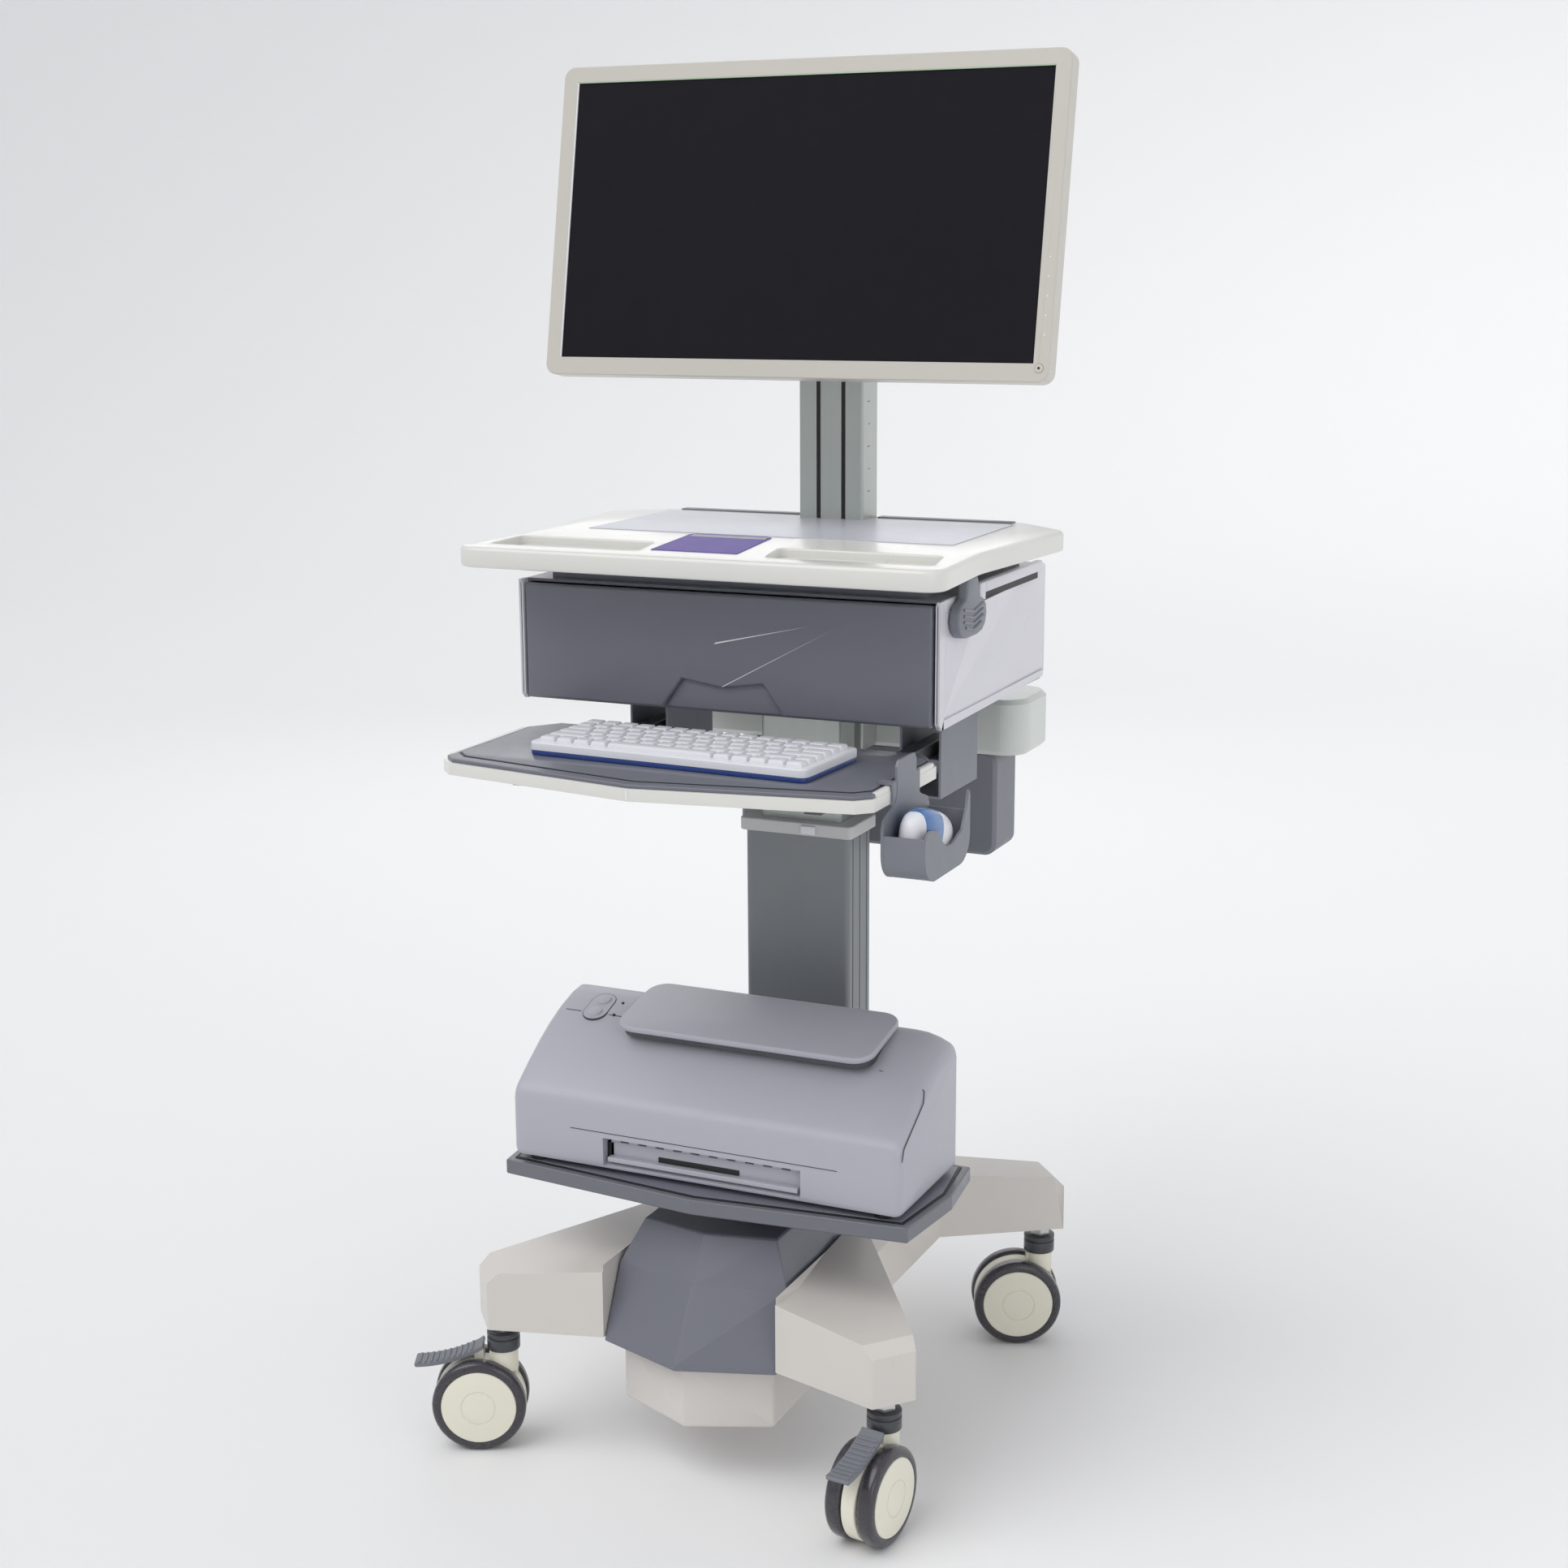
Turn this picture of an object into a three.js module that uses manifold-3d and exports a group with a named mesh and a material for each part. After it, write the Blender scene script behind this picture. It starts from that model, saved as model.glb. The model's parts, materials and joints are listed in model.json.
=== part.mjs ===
// Medication cart: a wheeled base with a gas-lift column, a work surface with a drawer and a keyboard
// tray, a monitor on a rear column, and a printer on a low shelf.
// Millimetres, +Z up. While it is built, z = 0 is the floor, x = 0 the middle of the cart, y = 0 the
// middle of the monitor column, and the user stands at -Y. The finished group is then moved along X
// and Y, so that the middle of its own box stands at x = 0, y = 0.
import * as THREE from "three";
import { mergeVertices } from "three/addons/utils/BufferGeometryUtils.js";
import Module from "manifold-3d";

const wasm = await Module();
wasm.setup();

// ---- Clearances ----
const GAP = 0.3; // between two pieces that touch
const RUNNING = 0.3; // radial play of a pin in its bore
const SLIDE_PLAY = 0.5; // side play of a sliding piece
const PAST = 1; // how far a cutter runs past a face, and a joined form into its neighbour

// ---- Casters ----
const WHEEL_DIAMETER = 100;
const TYRE_WIDTH = 18;
const TYRE_DEPTH = 14;
const TYRE_SHOULDER = 5;
const YOKE_WIDTH = 17;
const YOKE_INSET = 6;
const AXLE_RADIUS = 4;
const TRAIL = 26;
const CASTER_ABOVE_WHEEL = 28;
const COLLAR_RADIUS = 17.5;
const COLLAR_DEPTH = 22;
const STEM_RADIUS = 5.5;
const STEM_IN_YOKE = 26;
const STEM_IN_LEG = 45;
const STEM_SHOW = 12;
const NUT_RADIUS = 12;
const HUB_CROWN = 1.6;
const HUB_EDGE = 3;
const AXLE_SHORT = 3;
const NECK_TO_COLLAR = 2;
const WHEEL_SEGMENTS = 32;
const CASTER_HEADINGS = { front_left: 205, front_right: 263, rear_left: 150, rear_right: 205 };

// ---- Brake pedals on the front casters ----
const PEDAL_WIDTH = 25;
const PEDAL_LENGTH = 70;
const PEDAL_THICK = 5;
const PEDAL_DROP = 15;
const PEDAL_PIN_RADIUS = 2;
const PEDAL_BARREL_RADIUS = 4;
const PEDAL_BARREL_WIDTH = 10;
const PEDAL_PIN_ABOVE_WHEEL = 3;
const PEDAL_RIB = 1.4;
const PEDAL_RIBS = 6;

// ---- Base ----
const STEM_HALF_TRACK = 218;
const STEM_FRONT_Y = -395;
const STEM_REAR_Y = 83;
const LEG_END_HALF = 24;
const LEG_BEYOND_STEM = 20;
const LEG_END_HEIGHT = 64;
const LEG_ROOT_RISE = 20;
const LEG_TOP_CHAMFER = 12;
const FRONT_LEG_ANGLE = -40;
const REAR_LEG_ANGLE = 40;
const SPINE_HALF = 128;
const SPINE_TOP_HALF = 84;
const SPINE_SIDE_HEIGHT = 56;
const SPINE_HEIGHT = 92;
const SPINE_FRONT_Y = -392;
const SPINE_REAR_Y = 62;
const FRONT_LEG_ROOT = 180;
const REAR_LEG_ROOT = 82;
const REAR_LEG_FLARE = 16;
const REAR_LEG_INSET = 20;
const HOOD_HALF = 98;
const HOOD_TOP_HALF = 82;
const HOOD_CREASE_Y = -425;
const HOOD_CORNER_Y = -372;
const HOOD_TOP_CREASE_Y = -352;
const HOOD_RISE = 26;
const HOOD_WALL = 4;
const HOOD_LIP = 4;
const HOOD_TO_COLUMN = 20;
const BOX_HALF = 86;
const BOX_CREASE_Y = -406;
const BOX_CORNER_Y = -369;
const BOX_REAR_Y = -150;
const BOX_DEPTH = 76;
const BOX_CHAMFER = 4;

// ---- Lift column ----
const COLUMN_Y = -83.5;
const COLUMN_WIDTH = 122;
const COLUMN_DEPTH = 64;
const COLUMN_WALL = 4;
const COLUMN_LENGTH = 395;
const COLUMN_CORNER = 6;
const COLUMN_GROOVE = 2;
const COLUMN_GROOVE_SHARES = [-0.3, 0, 0.3];
const COLLAR_HEIGHT = 14;
const COLLAR_PROUD = 5;
const INNER_WIDTH = 94;
const INNER_DEPTH = 44;
const INNER_WALL = 3;
const INNER_SHOW = 126;
const INNER_HIDDEN = 200;
const HEAD_THICK = 23;
const HEAD_HALF = 62;
const HEAD_LIP = 3;
const GAS_RADIUS = 14;
const GAS_LENGTH = 345;
const GAS_ROD_RADIUS = 5;
const GAS_ROD_HIDDEN = 150;
const GAS_FLOOR = 6;

// ---- Cabinet and drawer ----
const CABINET_HALF = 226;
const CABINET_FRONT_Y = -285;
const CABINET_REAR_Y = 23;
const CABINET_HEIGHT = 125;
const CABINET_WALL = 3;
const SIDE_PANEL_THICK = 5;
const SIDE_PANEL_FRONT = 11;
const NECK_SIDE_INSET = 21;
const NECK_HEIGHT = 20;
const NECK_INSET = 14;
const DRAWER_SIDE_INSET = 2.5;
const DRAWER_THICK = 12;
const DRAWER_FRONT_HEIGHT = 110;
const DRAWER_TOP_INSET = 3;
const GRIP_HALF = 65;
const GRIP_TOP_HALF = 42;
const GRIP_HEIGHT = 33;
const GRIP_NOTCH = 9;
const GRIP_DEPTH = 7;
const TRAY_SIDE_INSET = 18;
const TRAY_WALL = 2.5;
const TRAY_HEIGHT = 88;
const TRAY_FLOOR_INSET = 12;
const TRAY_REAR_Y = -42;
const TRAY_RAIL_WIDTH = 12;

// ---- Work surface ----
const TOP_THICK = 21;
const TOP_FRONT_Y = -374;
const TOP_FRONT_HALF = 262;
const TOP_CORNER = 24;
const TOP_KNEE_HALF = 251;
const TOP_KNEE_Y = -236;
const TOP_REAR_HALF = 269;
const TOP_REAR_SIDE_Y = -28;
const TOP_REAR_Y = 26;
const TOP_REAR_EDGE_HALF = 205;
const TOP_CHAMFER = 3;
const PEN_INNER = 68;
const PEN_OUTER = 222;
const PEN_FRONT_Y = -340;
const PEN_REAR_Y = -268;
const PEN_DEPTH = 9;
const PEN_SLANT = 22;

// ---- Lift lever ----
const LEVER_Y = -236;
const LEVER_THICK = 9;
const LEVER_HALF = 40;
const LEVER_NECK_HALF = 16;
const LEVER_DROP = 54;
const LEVER_PIN_RADIUS = 3;
const LEVER_BARREL_RADIUS = 6;
const LEVER_LUG = 4;
const LEVER_STAND_OFF = 2;

// ---- Keyboard tray ----
const KB_HALF = 229;
const KB_CREASE_Y = -503;
const KB_FRONT_Y = -468;
const KB_CORNER = 14;
const KB_SIDE_REAR_Y = -297;
const KB_REAR_Y = -262;
const KB_REAR_EDGE_HALF = 205;
const KB_THICK = 17;
const KB_BELOW_CABINET = 28.5;
const BRACKET_INNER = 134;
const BRACKET_WIDTH = 46;
const BRACKET_FRONT_Y = -154;
const BRACKET_REAR_Y = -44;
const BRACKET_HEIGHT = 101;
const BRACKET_WALL = 3;
const BRACKET_LEDGE = 3;
const RUNNER_WIDTH = 18;
const RUNNER_HEIGHT = 14;
const RUNNER_FRONT_Y = -430;
const RUNNER_REAR_Y = -90;
const KEYBOARD_WIDTH = 316;
const KEYBOARD_DEPTH = 116;
const KEYBOARD_THICK = 13;
const KEY_HEIGHT = 5;
const KEY_MARGIN = 7;
const KEYBOARD_Y = -374;
const KEYBOARD_TURN = -3;

// ---- Mouse holder and mouse ----
const HOLDER_FRONT_Y = -440;
const HOLDER_REAR_Y = -322;
const HOLDER_WALL = 2.5;
const HOLDER_DEPTH = 44;
const HOLDER_CUP = 46;
const HOLDER_DROP = 86;
const HOLDER_TONGUE_HALF = 22;
const HOLDER_TONGUE_RISE = 22;
const HOOK_WIDTH = 12;
const HOOK_SPREAD = 23;
const HOOK_REACH = 14;
const MOUSE_LENGTH = 98;
const MOUSE_WIDTH = 58;
const MOUSE_THICK = 34;
const MOUSE_ROUND = 24;

// ---- Rear handle and power box ----
const HANDLE_HALF = 208;
const HANDLE_ARM = 40;
const HANDLE_FRONT_BAR = 22;
const HANDLE_REAR_Y = 126;
const HANDLE_GRIP = 30;
const HANDLE_HEIGHT = 62;
const HANDLE_BELOW_CABINET = 28;
const HANDLE_CORNER = 30;
const POWER_LEFT = -140;
const POWER_RIGHT = 172;
const POWER_FRONT_Y = 40;
const POWER_REAR_Y = 108;
const POWER_HEIGHT = 118;
const POWER_CORNER = 14;

// ---- Monitor column and monitor ----
const POST_WIDTH = 75;
const POST_DEPTH = 42;
const POST_CORNER = 3;
const POST_WALL = 4;
const POST_FRONT_WALL = 11;
const POST_BELOW_CABINET = 87;
const POST_ABOVE_TOP = 386;
const SLOT_X = 14.5;
const SLOT_WIDTH = 4.8;
const SLOT_DEPTH = 7;
const MONITOR_WIDTH = 565;
const MONITOR_HEIGHT = 325;
const MONITOR_CORNER = 12;
const MONITOR_THICK = 22;
const MONITOR_TILT = 10.6;
const BEZEL_SIDE = 16.5;
const BEZEL_TOP = 16;
const BEZEL_BOTTOM = 18.5;
const SCREEN_THICK = 4;
const SCREEN_SET_BACK = 1.2;
const BACK_WIDTH = 400;
const BACK_HEIGHT = 220;
const BACK_DEPTH = 20;
const BACK_CORNER = 30;
const HINGE_ABOVE_TOP = 306;
const HINGE_FORWARD = 29;
const HINGE_TO_BACK = 20;
const HINGE_PIN_RADIUS = 4;
const HINGE_BARREL_RADIUS = 8;
const HINGE_EAR = 6;
const HINGE_BARREL_HALF = 19.5;
const CARRIAGE_HALF = 40;
const CARRIAGE_HEIGHT = 100;
const CARRIAGE_DEPTH = 18;
const PLATE_SIZE = 100;
const PLATE_THICK = 4;
const BUTTON_RADIUS = 4.5;
const BUTTON_THICK = 3;
const BUTTON_POCKET = 4.5;
const BUTTON_FROM_EDGE = 10.5;
const BUTTON_UP = 14;
const BUTTON_PROUD = 0.5;

// ---- Printer and its shelf ----
const SHELF_TOP = 306;
const SHELF_THICK = 16;
const SHELF_HALF = 228;
const SHELF_CREASE_Y = -384;
const SHELF_FRONT_Y = -362;
const SHELF_REAR_Y = -182;
const SHELF_SIDE_Y = -264;
const SHELF_SIDE_HALF = 238;
const SHELF_ARM_HALF = 45;
const SHELF_ARM_DEPTH = 24;
const PRINTER_HALF = 220;
const PRINTER_FRONT_Y = -360;
const PRINTER_REAR_Y = -199;
const PRINTER_FEET = 5;
const PRINTER_FACE_HEIGHT = 74;
const PRINTER_SHOULDER_HEIGHT = 133;
const PRINTER_SHOULDER_RUN = 34;
const PRINTER_TOP_HEIGHT = 148;
const PRINTER_EDGE = 10;
const PRINTER_REAR_RUN = 8;
const PRINTER_WALL = 7;
const PRINTER_FOOT_HALF = 12;
const PRINTER_FOOT_X = 180;
const SLOT_OUT_HALF = 112;
const SLOT_OUT_LOW = 8;
const SLOT_OUT_HIGH = 36;
const SLOT_OUT_DEPTH = 42;
const LID_LEFT = -128;
const LID_RIGHT = 162;
const LID_THICK = 7;
const LID_GAP = 1.2;
const LID_FRONT_Y = -320;
const LID_BARREL_RADIUS = 3.5;
const LID_STUB_RADIUS = 1.5;
const LID_STUB = 4;
const LID_REBATE = 8.5;
const LID_CHAMFER = 1.5;
const KEY_X = -172;
const KEY_RADIUS = 6;
const KEY_THICK = 4;
const KEY_POCKET = 5.5;
const KEY_SPACING = 24;
const KEY_FROM_REAR = 40;

// ---- Widths that follow another width ----
const NECK_HALF = CABINET_HALF - NECK_SIDE_INSET;
const DRAWER_HALF = CABINET_HALF - DRAWER_SIDE_INSET;
const TRAY_HALF = CABINET_HALF - TRAY_SIDE_INSET;
const BUTTON_X = MONITOR_WIDTH / 2 - BUTTON_FROM_EDGE;

// ---- Levels, from the floor up ----
const WHEEL_RADIUS = WHEEL_DIAMETER / 2;
const YOKE_RADIUS = WHEEL_RADIUS - YOKE_INSET;
const CASTER_HEIGHT = WHEEL_DIAMETER + CASTER_ABOVE_WHEEL;
const PEDAL_PIN_HEIGHT = WHEEL_DIAMETER + PEDAL_PIN_ABOVE_WHEEL;
const LEG_BOTTOM = CASTER_HEIGHT + STEM_SHOW;
const SPINE_TOP = LEG_BOTTOM + SPINE_HEIGHT;
const COLUMN_TOP = SPINE_TOP + GAP + COLUMN_LENGTH;
const COLLAR_TOP = COLUMN_TOP + GAP + COLLAR_HEIGHT;
const INNER_TOP = COLLAR_TOP + INNER_SHOW;
const CABINET_BOTTOM = INNER_TOP + GAP + HEAD_THICK + GAP;
const CABINET_TOP = CABINET_BOTTOM + CABINET_HEIGHT;
const TOP_BOTTOM = CABINET_TOP + NECK_HEIGHT + GAP;
const TOP_SURFACE = TOP_BOTTOM + TOP_THICK;
const KB_TOP = CABINET_BOTTOM - KB_BELOW_CABINET;
const KB_BOTTOM = KB_TOP - KB_THICK;
const HANDLE_TOP = CABINET_BOTTOM - HANDLE_BELOW_CABINET;
const HANDLE_BOTTOM = HANDLE_TOP - HANDLE_HEIGHT;
const POST_BOTTOM = CABINET_BOTTOM - POST_BELOW_CABINET;
const POST_TOP = TOP_SURFACE + POST_ABOVE_TOP;
const HINGE_HEIGHT = TOP_SURFACE + HINGE_ABOVE_TOP;
const PRINTER_BOTTOM = SHELF_TOP + GAP + PRINTER_FEET;

// ---- Places tied to other pieces ----
const COLUMN_FRONT_Y = COLUMN_Y - COLUMN_DEPTH / 2;
const HOOD_REAR_Y = COLUMN_FRONT_Y - HOOD_TO_COLUMN;
const POST_FRONT_Y = -POST_DEPTH / 2;
const HANDLE_FRONT_Y = POST_DEPTH / 2 + GAP;
const DRAWER_TOP = CABINET_TOP - DRAWER_TOP_INSET;
const DRAWER_BOTTOM = DRAWER_TOP - DRAWER_FRONT_HEIGHT;
const DRAWER_FRONT_Y = CABINET_FRONT_Y - GAP - DRAWER_THICK;
const TRAY_FLOOR = CABINET_BOTTOM + TRAY_FLOOR_INSET;
const LEVER_X = CABINET_HALF + GAP + SIDE_PANEL_THICK + LEVER_STAND_OFF + LEVER_THICK / 2;
const LEVER_PIN_Z = TOP_BOTTOM - LEVER_BARREL_RADIUS - SLIDE_PLAY;
const BRACKET_TOP = CABINET_BOTTOM - GAP;
const BRACKET_BOTTOM = BRACKET_TOP - BRACKET_HEIGHT;
const RUNNER_BOTTOM = KB_BOTTOM - RUNNER_HEIGHT;
const HINGE_Y = POST_FRONT_Y - HINGE_FORWARD;

// ---- Making solids ----
function radians(degrees) {
  return THREE.MathUtils.degToRad(degrees);
}

// Closed solid of a three.js geometry.
function solid(geometry) {
  const plain = geometry.index ? geometry.toNonIndexed() : geometry.clone();
  plain.deleteAttribute("normal");
  plain.deleteAttribute("uv");
  const merged = mergeVertices(plain);
  const mesh = new wasm.Mesh({
    numProp: 3,
    vertProperties: merged.attributes.position.array,
    triVerts: new Uint32Array(merged.index.array),
  });
  return new wasm.Manifold(mesh);
}

function box(x, y, z) {
  const geometry = new THREE.BoxGeometry(x[1] - x[0], y[1] - y[0], z[1] - z[0]);
  geometry.translate((x[0] + x[1]) / 2, (y[0] + y[1]) / 2, (z[0] + z[1]) / 2);
  return solid(geometry);
}

function polygon(points) {
  return new THREE.Shape(points.map((point) => new THREE.Vector2(point[0], point[1])));
}

// Rectangle between two corners, with round corners.
function roundedRectangle(x, y, radius) {
  const shape = new THREE.Shape();
  shape.absarc(x[1] - radius, y[0] + radius, radius, -Math.PI / 2, 0);
  shape.absarc(x[1] - radius, y[1] - radius, radius, 0, Math.PI / 2);
  shape.absarc(x[0] + radius, y[1] - radius, radius, Math.PI / 2, Math.PI);
  shape.absarc(x[0] + radius, y[0] + radius, radius, Math.PI, 1.5 * Math.PI);
  return shape;
}

// An outline in x and y, raised from one height to another, with an optional chamfer on both ends.
function extruded(shape, z, chamfer = 0, curveSegments = 6) {
  const geometry = new THREE.ExtrudeGeometry(shape, {
    depth: z[1] - z[0] - 2 * chamfer,
    bevelEnabled: chamfer > 0,
    bevelThickness: chamfer,
    bevelSize: chamfer,
    bevelOffset: -chamfer,
    bevelSegments: 1,
    curveSegments,
  });
  geometry.translate(0, 0, z[0] + chamfer);
  return geometry;
}

function prism(shape, z, chamfer = 0, curveSegments = 6) {
  return solid(extruded(shape, z, chamfer, curveSegments));
}

// An outline in y and z, run from one x to another.
function prismAlongX(shape, x, chamfer = 0, curveSegments = 6) {
  const geometry = extruded(shape, x, chamfer, curveSegments);
  geometry.rotateX(Math.PI / 2);
  geometry.rotateZ(Math.PI / 2);
  return solid(geometry);
}

// An outline in x and z, run from one y to another.
function prismAlongY(shape, y, chamfer = 0, curveSegments = 6) {
  const geometry = extruded(shape, [-y[1], -y[0]], chamfer, curveSegments);
  geometry.rotateX(Math.PI / 2);
  return solid(geometry);
}

// A round bar along Z.
function bar(radius, z, sides = 20) {
  const geometry = new THREE.CylinderGeometry(radius, radius, z[1] - z[0], sides);
  geometry.rotateX(Math.PI / 2);
  geometry.translate(0, 0, (z[0] + z[1]) / 2);
  return solid(geometry);
}

// A profile of radius and distance along the axis, turned about the Y axis, with a flat facing down.
function turnedAboutY(profile, segments) {
  const points = profile.map((point) => new THREE.Vector2(point[0], point[1]));
  return solid(new THREE.LatheGeometry(points, segments, Math.PI / segments));
}

function join(first, ...others) {
  return others.reduce((whole, piece) => whole.add(piece), first);
}

function cut(first, ...others) {
  return others.reduce((whole, piece) => whole.subtract(piece), first);
}

function material(finish) {
  return new THREE.MeshStandardMaterial({
    color: finish.colour,
    roughness: finish.roughness,
    metalness: finish.metalness,
  });
}

// A named mesh of a solid.
function piece(name, shape, finish) {
  const made = shape.getMesh();
  const geometry = new THREE.BufferGeometry();
  geometry.setAttribute("position", new THREE.BufferAttribute(made.vertProperties, 3));
  geometry.setIndex(new THREE.BufferAttribute(made.triVerts, 1));
  geometry.computeVertexNormals();
  const mesh = new THREE.Mesh(geometry, material(finish));
  mesh.name = name;
  return mesh;
}

// ---- Finishes ----
const SHELL_WHITE = { colour: 0xd9d5cd, roughness: 0.45, metalness: 0 };
const TOP_WHITE = { colour: 0xe3e3de, roughness: 0.35, metalness: 0 };
const PANEL_WHITE = { colour: 0xcfcdd6, roughness: 0.35, metalness: 0 };
const SLATE = { colour: 0x686870, roughness: 0.4, metalness: 0 };
const COLUMN_GREY = { colour: 0x64686a, roughness: 0.45, metalness: 0.4 };
const COLLAR_GREY = { colour: 0xb9bcbc, roughness: 0.4, metalness: 0.1 };
const PALE_ALUMINIUM = { colour: 0xb4bbb2, roughness: 0.35, metalness: 0.7 };
const STEEL = { colour: 0xc8c8c8, roughness: 0.25, metalness: 1 };
const DARK_STEEL = { colour: 0x5a5d62, roughness: 0.4, metalness: 0.8 };
const CREAM = { colour: 0xeeeccd, roughness: 0.4, metalness: 0 };
const TYRE_BLACK = { colour: 0x3a373b, roughness: 0.5, metalness: 0 };
const PEDAL_GREY = { colour: 0x6d7377, roughness: 0.55, metalness: 0 };
const HANDLE_PALE = { colour: 0xdfe4d8, roughness: 0.4, metalness: 0 };
const PRINTER_SILVER = { colour: 0xa5a7af, roughness: 0.4, metalness: 0.1 };
const KEY_WHITE = { colour: 0xe6e6ea, roughness: 0.4, metalness: 0 };
const BEZEL_SILVER = { colour: 0xcdc8be, roughness: 0.35, metalness: 0.1 };
const SCREEN_BLACK = { colour: 0x211f24, roughness: 0.3, metalness: 0 };

// ---- Casters ----
// Built with the swivel axis on x = 0, y = 0, the wheels trailing towards +X and the axle along Y.
const YOKE_HALF = YOKE_WIDTH / 2;
const TYRE_INNER_Y = YOKE_HALF + SLIDE_PLAY;
const TYRE_OUTER_Y = TYRE_INNER_Y + TYRE_WIDTH;
const HUB_RADIUS = WHEEL_RADIUS - TYRE_DEPTH;
const AXLE_END_Y = TYRE_OUTER_Y - AXLE_SHORT;
const PEDAL_PIN_X = TRAIL;
const PEDAL_UNDERSIDE = PEDAL_PIN_HEIGHT + PEDAL_BARREL_RADIUS + SLIDE_PLAY;

function casterStem() {
  const shaft = bar(STEM_RADIUS, [CASTER_HEIGHT - STEM_IN_YOKE, LEG_BOTTOM + STEM_IN_LEG]);
  const nut = bar(NUT_RADIUS, [CASTER_HEIGHT + GAP, LEG_BOTTOM - GAP], 6);
  return join(shaft, nut);
}

function alongY(radius, y, centre, sides = 20) {
  const length = y[1] - y[0];
  const geometry = new THREE.CylinderGeometry(radius, radius, length, sides);
  geometry.translate(centre[0], (y[0] + y[1]) / 2, centre[1]);
  return solid(geometry);
}

function alongX(radius, x, centre, sides = 20) {
  const geometry = new THREE.CylinderGeometry(radius, radius, x[1] - x[0], sides);
  geometry.rotateZ(Math.PI / 2);
  geometry.translate((x[0] + x[1]) / 2, centre[0], centre[1]);
  return solid(geometry);
}

function casterYoke(withPedal) {
  const web = alongY(YOKE_RADIUS, [-YOKE_HALF, YOKE_HALF], [TRAIL, WHEEL_RADIUS], WHEEL_SEGMENTS);
  const neckHalf = COLLAR_RADIUS - NECK_TO_COLLAR;
  const neckTop = CASTER_HEIGHT - COLLAR_DEPTH;
  const neck = box([-neckHalf, neckHalf], [-YOKE_HALF, YOKE_HALF], [WHEEL_RADIUS, neckTop]);
  const collar = bar(COLLAR_RADIUS, [neckTop - GAP, CASTER_HEIGHT], 28);
  const axle = alongY(AXLE_RADIUS, [-AXLE_END_Y, AXLE_END_Y], [TRAIL, WHEEL_RADIUS]);
  const bore = bar(STEM_RADIUS + RUNNING, [CASTER_HEIGHT - STEM_IN_YOKE - GAP, CASTER_HEIGHT + PAST]);
  const body = cut(join(web, neck, collar), bore);
  if (!withPedal) return join(body, axle);
  const earInner = PEDAL_BARREL_WIDTH / 2 + SLIDE_PLAY;
  const ears = [-1, 1].map((side) => {
    const y = side > 0 ? [earInner, YOKE_HALF] : [-YOKE_HALF, -earInner];
    const x = [PEDAL_PIN_X - PEDAL_BARREL_RADIUS, PEDAL_PIN_X + PEDAL_BARREL_RADIUS];
    return box(x, y, [WHEEL_RADIUS, PEDAL_PIN_HEIGHT + PEDAL_BARREL_RADIUS]);
  });
  const pin = alongY(PEDAL_PIN_RADIUS, [-YOKE_HALF, YOKE_HALF], [PEDAL_PIN_X, PEDAL_PIN_HEIGHT]);
  return join(body, axle, ears[0], ears[1], pin);
}

function wheelHub(side) {
  const bore = AXLE_RADIUS + RUNNING;
  const inner = TYRE_INNER_Y;
  const outer = TYRE_OUTER_Y;
  const boreEnd = AXLE_END_Y + GAP;
  const profile = [
    [0, boreEnd],
    [bore, boreEnd],
    [bore, inner],
    [HUB_RADIUS, inner],
    [HUB_RADIUS, outer - HUB_CROWN],
    [HUB_RADIUS - HUB_EDGE, outer],
    [0, outer + HUB_CROWN],
  ];
  return placedOnAxle(turnedAboutY(profile, WHEEL_SEGMENTS), side);
}

function wheelTyre(side) {
  const seat = HUB_RADIUS + GAP;
  const round = TYRE_SHOULDER / Math.SQRT2;
  const flat = Math.cos(Math.PI / WHEEL_SEGMENTS);
  const tread = WHEEL_RADIUS / flat;
  const profile = [
    [seat, TYRE_INNER_Y],
    [tread - round, TYRE_INNER_Y],
    [tread, TYRE_INNER_Y + round],
    [tread, TYRE_OUTER_Y - round],
    [tread - round, TYRE_OUTER_Y],
    [seat, TYRE_OUTER_Y],
    [seat, TYRE_INNER_Y],
  ];
  return placedOnAxle(turnedAboutY(profile, WHEEL_SEGMENTS), side);
}

function placedOnAxle(shape, side) {
  const turned = side > 0 ? shape : shape.mirror([0, 1, 0]);
  return turned.translate([TRAIL, 0, WHEEL_RADIUS]);
}

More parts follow.
